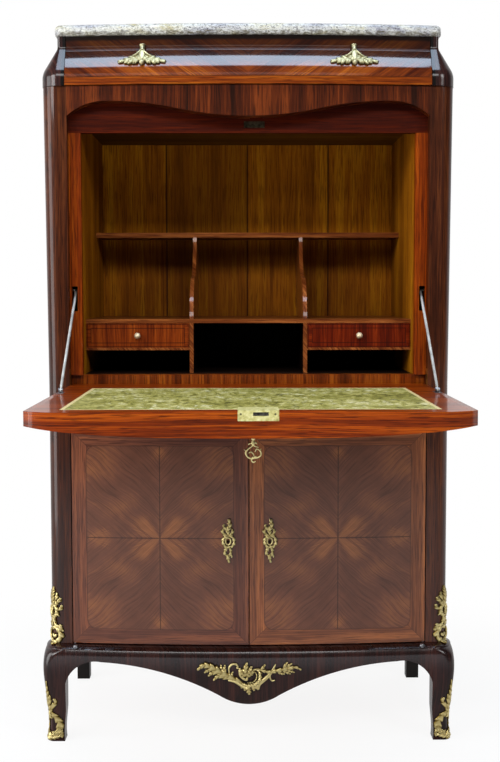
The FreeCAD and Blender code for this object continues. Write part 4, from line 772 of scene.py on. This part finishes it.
def model_apron_mount():
    """An uneven rocaille spray: leaves to both sides of a shell held in a hatched scroll."""
    mount = Relief("gilt_apron_mount")
    mount.fullness = 1.18
    low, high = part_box("apron_mount")
    height_above = 34 * MM
    mount.on(Carrier(["front_apron"], (0, low.y, high.z - height_above), FRONT))
    left_branch = [(-12, -10), (-35, 2), (-56, 13), (-75, 23), (-91, 27), (-105, 18)]
    mount.stroke(left_branch, (4, 8, 1.5), 8, 8, LEAF)
    mount.stroke([(-30, -4), (-46, 2), (-62, 5), (-73, -4)], (3, 5, 0.8), 6, 5, LEAF)
    mount.stroke([(-50, 8), (-66, 12), (-76, 11), (-83, 5)], (3, 4.5, 0.8), 6, 4, LEAF)
    mount.stroke([(-66, 16), (-80, 18), (-91, 12)], (3, 4, 0.8), 6, 4, LEAF)
    mount.stroke([(-46, 12), (-50, 20), (-49, 29)], (3, 3.6, 0.6), 6, 3, LEAF)
    mount.stroke([(-50, 13), (-56, 21), (-57, 29)], (3, 3.2, 0.6), 6, 3, LEAF)
    mount.stroke([(-33, 3), (-35, 9), (-33, 15)], (2.6, 2.8, 0.6), 5, 2, LEAF)
    mount.stroke([(-40, 10), (-41, 22), (-34, 30), (-25, 29), (-23, 23)], (1.6, 2.2, 2), 4.5)
    mount.bead(-23.5, 22.5, 2.6, 5)
    mount.stroke([(-42, -3), (-28, -6), (-12, -16), (-4, -20)], (2, 3, 2.6), 6)
    mount.stroke([(-6, 4), (-8, 16), (-4, 34)], (3, 6, 0.7), 8, 4, LEAF)
    mount.stroke([(-7, 4), (-15, 12), (-20, 22)], (3, 5, 1), 8, 4, LEAF)
    mount.stroke([(-5, 4), (0, 14), (5, 26)], (3, 5, 1), 8, 4, LEAF)
    mount.stroke([(-4, 3), (4, 10), (11, 19)], (2.6, 4, 1), 7, 4, LEAF)
    mount.stroke([(-19, 20), (-19, 9), (-12, 1), (-5, -2), (-4, 3)], (2, 2.6, 1.6), 6)
    mount.stroke([(9, 21), (20, 15), (21, 0), (11, -11), (-3, -14), (-14, -10)], (2, 5.6, 2), 8, 12)
    mount.stroke([(6, 17), (14, 12), (14, 1), (7, -6), (-3, -8)], (1, 1.8, 1), 8, 9)
    right_stem = [(17, -21), (20, -11), (30, -2), (40, 7), (47, 17), (54, 30)]
    right_branch = [(12, 21), (26, 17), (41, 14), (57, 17), (75, 20), (93, 23), (105, 18)]
    mount.stroke(right_stem, (3.4, 3.4, 0.8), 6, 0, LEAF)
    mount.stroke(right_branch, (2.4, 4.6, 1.8), 7, 9, LEAF)
    mount.stroke([(22, 18), (28, 23), (33, 29)], (2.6, 3, 0.6), 5, 2, LEAF)
    mount.stroke([(68, 20), (73, 27), (78, 34)], (2.6, 3, 0.6), 5, 2, LEAF)
    mount.stroke([(76, 21), (81, 27), (87, 31)], (2.6, 3, 0.6), 5, 2, LEAF)
    mount.stroke([(56, 15), (64, 11), (72, 9)], (2.6, 3, 0.6), 5, 3, LEAF)
    mount.stroke([(66, 17), (75, 13), (84, 9)], (2.6, 3, 0.6), 5, 3, LEAF)
    mount.stroke([(76, 18), (84, 15), (92, 12)], (2.6, 2.8, 0.6), 5, 3, LEAF)
    mount.stroke([(44, 13), (42, 3), (46, -4), (52, -3)], (1.4, 1.8, 1.4), 4)
    mount.stroke([(-2, -13), (-1, -22), (0, -33)], (4, 5.5, 0.7), 7, 3, LEAF)
    mount.stroke([(-3, -13), (-8, -18), (-9, -25)], (3.4, 3.6, 0.8), 6, 2, LEAF)
    mount.stroke([(2, -13), (8, -19), (10, -25)], (3.4, 3.6, 0.8), 6, 2, LEAF)
    mount.stroke([(6, -13), (14, -17), (19, -22)], (3.4, 4, 1.4), 6, 2, LEAF)
    mount.stroke([(-8, -11), (-14, -15), (-16, -20)], (3, 3, 0.8), 5, 2, LEAF)
    mount.cast(gilt_bronze, "case", "apron_mount")


def corner_carrier(names, box, sign, inset, height):
    """A carrier that faces out over a front corner of the case, from inside the mounts' box."""
    low, high = box
    edge = low.x if sign < 0 else high.x
    origin = (edge - sign * inset, low.y + inset, height)
    return Carrier(names, origin, (sign, -1, 0))


def model_corner_mounts():
    """A plume over a rose and paired scrolls, on each rounded post."""
    chutes = Relief("gilt_corner_mounts")
    chutes.fullness = 1.08
    low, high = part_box("corner_mounts")
    for side, sign in SIDES:
        names = [f"front_post_{side}", f"front_leg_{side}"]
        middle = (low.z + high.z) / 2
        chutes.on(corner_carrier(names, (low, high), sign, 9 * MM, middle), -sign)
        chutes.stroke([(-3, 14), (-5, 32), (-4, 46), (-2, 57)], (7, 8, 1.6), 5, 6, LEAF)
        chutes.stroke([(-6, 24), (-12, 34), (-13, 43)], (4, 5, 1.4), 4, 3, LEAF)
        chutes.stroke([(2, 28), (7, 38), (7, 46)], (3.4, 4, 1.2), 4, 2, LEAF)
        chutes.stroke([(9, 10), (15, 14), (17, 21)], (3, 3.6, 1.2), 4, 2, LEAF)
        chutes.stroke([(-10, 4), (-16, -2), (-16, -10)], (3, 3.6, 1.2), 4, 2, LEAF)
        chutes.stroke([(8, -24), (15, -27), (19, -33)], (3, 3.6, 1.2), 4, 2, LEAF)
        chutes.stroke([(-4, -40), (2, -44), (6, -40)], (2.4, 3.6, 2), 5)
        chutes.stroke([(0, 18), (7, 25), (13, 31), (15, 36)], (4, 4.4, 1.6), 5, 3, LEAF)
        chutes.stroke([(-5, 22), (-12, 12), (-9, 0), (-3, -4)], (4, 5.6, 3), 5, 5)
        chutes.stroke([(-4, 22), (6, 14), (6, 3), (-2, -4)], (4, 5.6, 3), 5, 5)
        chutes.stroke([(-4, 18), (-4, 9), (-4, 1)], (2, 3.4, 2), 6, 3)
        upper_scroll = [(14, -2), (7, 1), (1, -8), (4, -19), (12, -23), (16, -20)]
        chutes.stroke(upper_scroll, (2.4, 4.6, 2), 5, 4)
        chutes.stroke([(-3, -4), (-7, -12), (-12, -19), (-13, -26)], (3.4, 4, 1.6), 5, 3, LEAF)
        chutes.stroke([(-2, -12), (-5, -21), (-2, -30)], (3.4, 4, 3), 5, 2, LEAF)
        lower_scroll = [(-8, -26), (6, -27), (15, -40), (8, -53), (-5, -55), (-12, -49)]
        chutes.stroke(lower_scroll, (3.4, 6.2, 3.4), 5.5, 7)
        chutes.stroke([(-10, -27), (-14, -38), (-12, -48), (-5, -52)], (3, 4, 3), 5, 3)
    chutes.cast(gilt_bronze, "case", "corner_mounts")


def model_sabots():
    """A leaf down each knee, ending in a pierced scroll that shoes the foot."""
    sabots = Relief("gilt_sabots")
    for side, sign in SIDES:
        carrier = corner_carrier([f"front_leg_{side}"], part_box("sabots"), sign, 8 * MM, 3.4 * MM)
        for turn in (1, -1):
            sabots.on(carrier, turn)
            sabots.stroke([(2, 60), (8, 70), (13, 79), (12, 86)], (3.4, 4, 1.6), 4, 2, LEAF)
            sabots.stroke([(1, 70), (4, 82), (5, 93)], (3, 3.4, 1), 4, 2, LEAF)
            sabots.stroke([(1, 58), (9, 47), (14, 33), (13, 18), (7, 8)], (5, 7, 5), 5, 5, LEAF)
            sabots.stroke([(18, 34), (20, 18), (17, 6)], (3, 5.4, 4), 4, 3, LEAF)
            sabots.stroke([(0, 5), (8, 4), (16, 7)], (4, 4.4, 3), 5, 4)
            sabots.stroke([(2, 16), (10, 13), (18, 15)], (3, 4.6, 3), 6, 3, LEAF)
        sabots.on(carrier)
        sabots.stroke([(0, 50), (0, 72), (0, 96), (0, 123)], (7, 6, 1.4), 5, 7, LEAF)
        sabots.stroke([(0, 60), (0, 52), (0, 44)], (4, 5.6, 3), 6, 2)
        sabots.stroke([(0, 16), (0, 8), (0, 1)], (4, 6, 5), 6, 2)
    sabots.cast(gilt_bronze, "case", "sabots")


def model_key():
    """A key whose bow is two open scrolls under a crown, on a turned shank."""
    key = Relief("gilt_key")
    low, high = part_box("flap_key")
    centre = Vector(((low.x + high.x) / 2, (low.y + high.y) / 2, low.z + 15 * MM))
    key.on(lambda across, up, out: centre + Vector((across, -out, up)) * MM)
    wire = 1.5
    top = (high.z - centre.z) / MM
    rods = (
        ([(0, 14), (-4, 11), (-9, 7), (-12, 1), (-8, -6), (0, -8), (5, -4)], (1.4, 1.6, 1.1)),
        ([(0, 14), (4, 12), (9, 10.5)], (1.4, 1.4, 0.9)),
        ([(3, 3), (6, 8), (12, 4), (12, -3), (5, -7), (-2, -6)], (1, 1.5, 1.2)),
        ([(-7, 1), (-4, 3), (0, 0), (2, -5)], (0.9, 1.1, 1)),
        ([(-15, 7), (-12, 5), (-10, 6)], (0.6, 1.1, 0.8)),
        ([(13, 8), (11.5, 6), (11, 3)], (0.6, 1.1, 0.8)),
        ([(-2, -7), (-2.5, -11), (0, -14), (4, -12.5)], (1.3, 1.3, 0.9)),
        ([(0, 17), (-5, 17), (-8, 14.5)], (1.4, 1.6, 0.7)),
        ([(0, 17), (4, 18), (6, 15.5)], (1.4, 1.6, 0.7)),
        ([(0, 13), (0, 18), (0, 23)], (2.2, 2.8, 1.8)),
        ([(0, 22), (0, 25), (0, 28)], (2.6, 3.6, 2.4)),
        ([(0, 26), (0, 44), (0, top)], (2.1, 2.0, 2.1)),
    )
    for spine, widths in rods:
        key.stroke(spine, widths, max(widths[1], wire), sink=max(widths[1], wire), around=12)
    key.cast(gilt_bronze, "fall_front_key", "flap_key")


def model_pivot_balls():
    """A small turned knuckle under each door's outer corner, clear of the door's swing."""
    balls = Relief("pivot_balls")
    for side, sign in SIDES:
        low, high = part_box(f"door_{side}")
        outer = low.x if sign < 0 else high.x
        centre = Vector((outer - sign * 6 * MM, low.y + 2 * MM, low.z - 5.2 * MM))
        nearest = Carrier(["front_apron"], centre, FRONT).tree.find_nearest(centre)[0]
        spot = Vector((centre.x, nearest.y, centre.z))
        balls.on(lambda across, up, out, spot=spot: spot + Vector((across, -out, up)) * MM)
        balls.stroke([(0, 4), (0, 1.5), (0, -1.5), (0, -4)], (3, 5.6, 3), 5.5, sink=5)
    balls.cast(iron, "case")


model_pulls()
model_pivot_balls()
for side, _ in SIDES:
    model_escutcheon(side)
model_apron_mount()
model_corner_mounts()
model_sabots()
model_key()


# Studio: a pale floor, a white surround that is dimmer behind the camera, soft lamps and the camera


def seen_rays(f):
    """One for rays from the camera and its mirrored and refracted ones, and none for light."""
    path = f.add("ShaderNodeLightPath")
    seen = f.math("MAXIMUM", path.outputs["Is Camera Ray"], path.outputs["Is Glossy Ray"])
    return f.math("MAXIMUM", seen, path.outputs["Is Transmission Ray"])


def build_floor():
    """A pale floor, lit by the lamps in front and fading to plain white behind the object."""
    size = 12.0
    corners = [(-size, -size, 0), (size, -size, 0), (size, size, 0), (-size, size, 0)]
    mesh = bpy.data.meshes.new("studio_floor")
    mesh.from_pydata(corners, [], [(0, 1, 2, 3)])
    floor = bpy.data.objects.new("studio_floor", mesh)
    bpy.context.scene.collection.objects.link(floor)
    f = Finish("studio_floor")
    mottle = f.noise((f.x * 3, f.y * 3), detail=3)
    f.set(Base_Color=f.ramp(mottle, ((0.3, "#e6e6e6"), (0.7, "#ececec"))), Roughness=0.9)
    f.set(Specular_IOR_Level=0.1)
    glow = f.add("ShaderNodeEmission")
    away = f.math("SQRT", f.x * f.x + f.y * f.y)
    blend = f.add("ShaderNodeMixShader")
    near = f.y.step(-0.7, -0.1)
    f.feed(blend.inputs[0], seen_rays(f) * near * (away.step(0.6, 1.5) * 0.12 + 0.88))
    f.feed(blend.inputs[1], f.shader.outputs[0])
    f.feed(blend.inputs[2], glow.outputs[0])
    output = f.tree.nodes["Material Output"]
    f.feed(output.inputs["Surface"], blend.outputs[0])
    mesh.materials.append(f.material)


def build_world():
    """White behind the object and dim behind the camera, a little brighter to the left."""
    world = bpy.data.worlds.new("studio")
    bpy.context.scene.world = world
    world.use_nodes = True
    tree = world.node_tree
    place = tree.nodes.new("ShaderNodeTexCoord")
    split = tree.nodes.new("ShaderNodeSeparateXYZ")
    tree.links.new(place.outputs["Generated"], split.inputs[0])
    levels = []
    for axis, limits in (("Y", (0.0, 0.5, 0.06, 1.0)), ("X", (-0.95, -0.35, 0.55, 0.0))):
        level = tree.nodes.new("ShaderNodeMapRange")
        level.interpolation_type = "SMOOTHSTEP"
        tree.links.new(split.outputs[axis], level.inputs["Value"])
        for name, value in zip(("From Min", "From Max", "To Min", "To Max"), limits):
            level.inputs[name].default_value = value
        levels.append(level.outputs["Result"])
    brighter = tree.nodes.new("ShaderNodeMath")
    brighter.operation = "MAXIMUM"
    for socket, level in zip(brighter.inputs, levels):
        tree.links.new(level, socket)
    background = tree.nodes["Background"]
    background.inputs["Color"].default_value = (1.0, 1.0, 1.0, 1.0)
    tree.links.new(brighter.outputs[0], background.inputs["Strength"])


def add_lamp(name, place, target, size, power, tone="#ffffff"):
    light = bpy.data.lights.new(name, "AREA")
    light.shape = "RECTANGLE"
    light.size, light.size_y = size
    light.energy = power
    light.color = linear(tone)[:3]
    lamp = bpy.data.objects.new(name, light)
    bpy.context.scene.collection.objects.link(lamp)
    lamp.location = place
    lamp.rotation_euler = (Vector(target) - Vector(place)).to_track_quat("-Z", "Y").to_euler()


def add_camera():
    """The photograph's camera, fitted to the case's own corners."""
    photo_height = 762
    focal_pixels = 1261
    pitch, yaw, roll = 0.0708, 0.0071, -0.0013
    data = bpy.data.cameras.new("photo_camera")
    data.sensor_width = 36
    data.lens = focal_pixels / photo_height * data.sensor_width
    camera = bpy.data.objects.new("photo_camera", data)
    bpy.context.scene.collection.objects.link(camera)
    turns = ((-yaw, "Z"), (math.pi / 2 - pitch, "X"), (roll, "Z"))
    placed = Matrix.Translation((-0.0154, -2.468, 0.919))
    for angle, axis in turns:
        placed = placed @ Matrix.Rotation(angle, 4, axis)
    camera.matrix_world = placed
    bpy.context.scene.camera = camera


build_floor()
build_world()
add_lamp("overhead", (0.0, -0.65, 3.0), (0.0, -0.65, 0.0), (1.9, 0.64), 50, "#d0e4fc")
add_lamp("front", (-0.3, -3.4, 2.95), (0.0, 0.1, 0.7), (3.0, 0.7), 68)
add_lamp("front_left", (-2.5, -2.4, 2.2), (0.0, 0.1, 0.8), (1.4, 1.0), 54)
add_lamp("front_right", (2.4, -2.6, 2.4), (0.0, 0.1, 0.8), (1.0, 1.0), 36)
add_lamp("left", (-2.6, -0.6, 1.0), (-0.4, 0.1, 0.8), (1.2, 2.0), 42)
add_camera()
bpy.context.scene.view_settings.view_transform = "Standard"
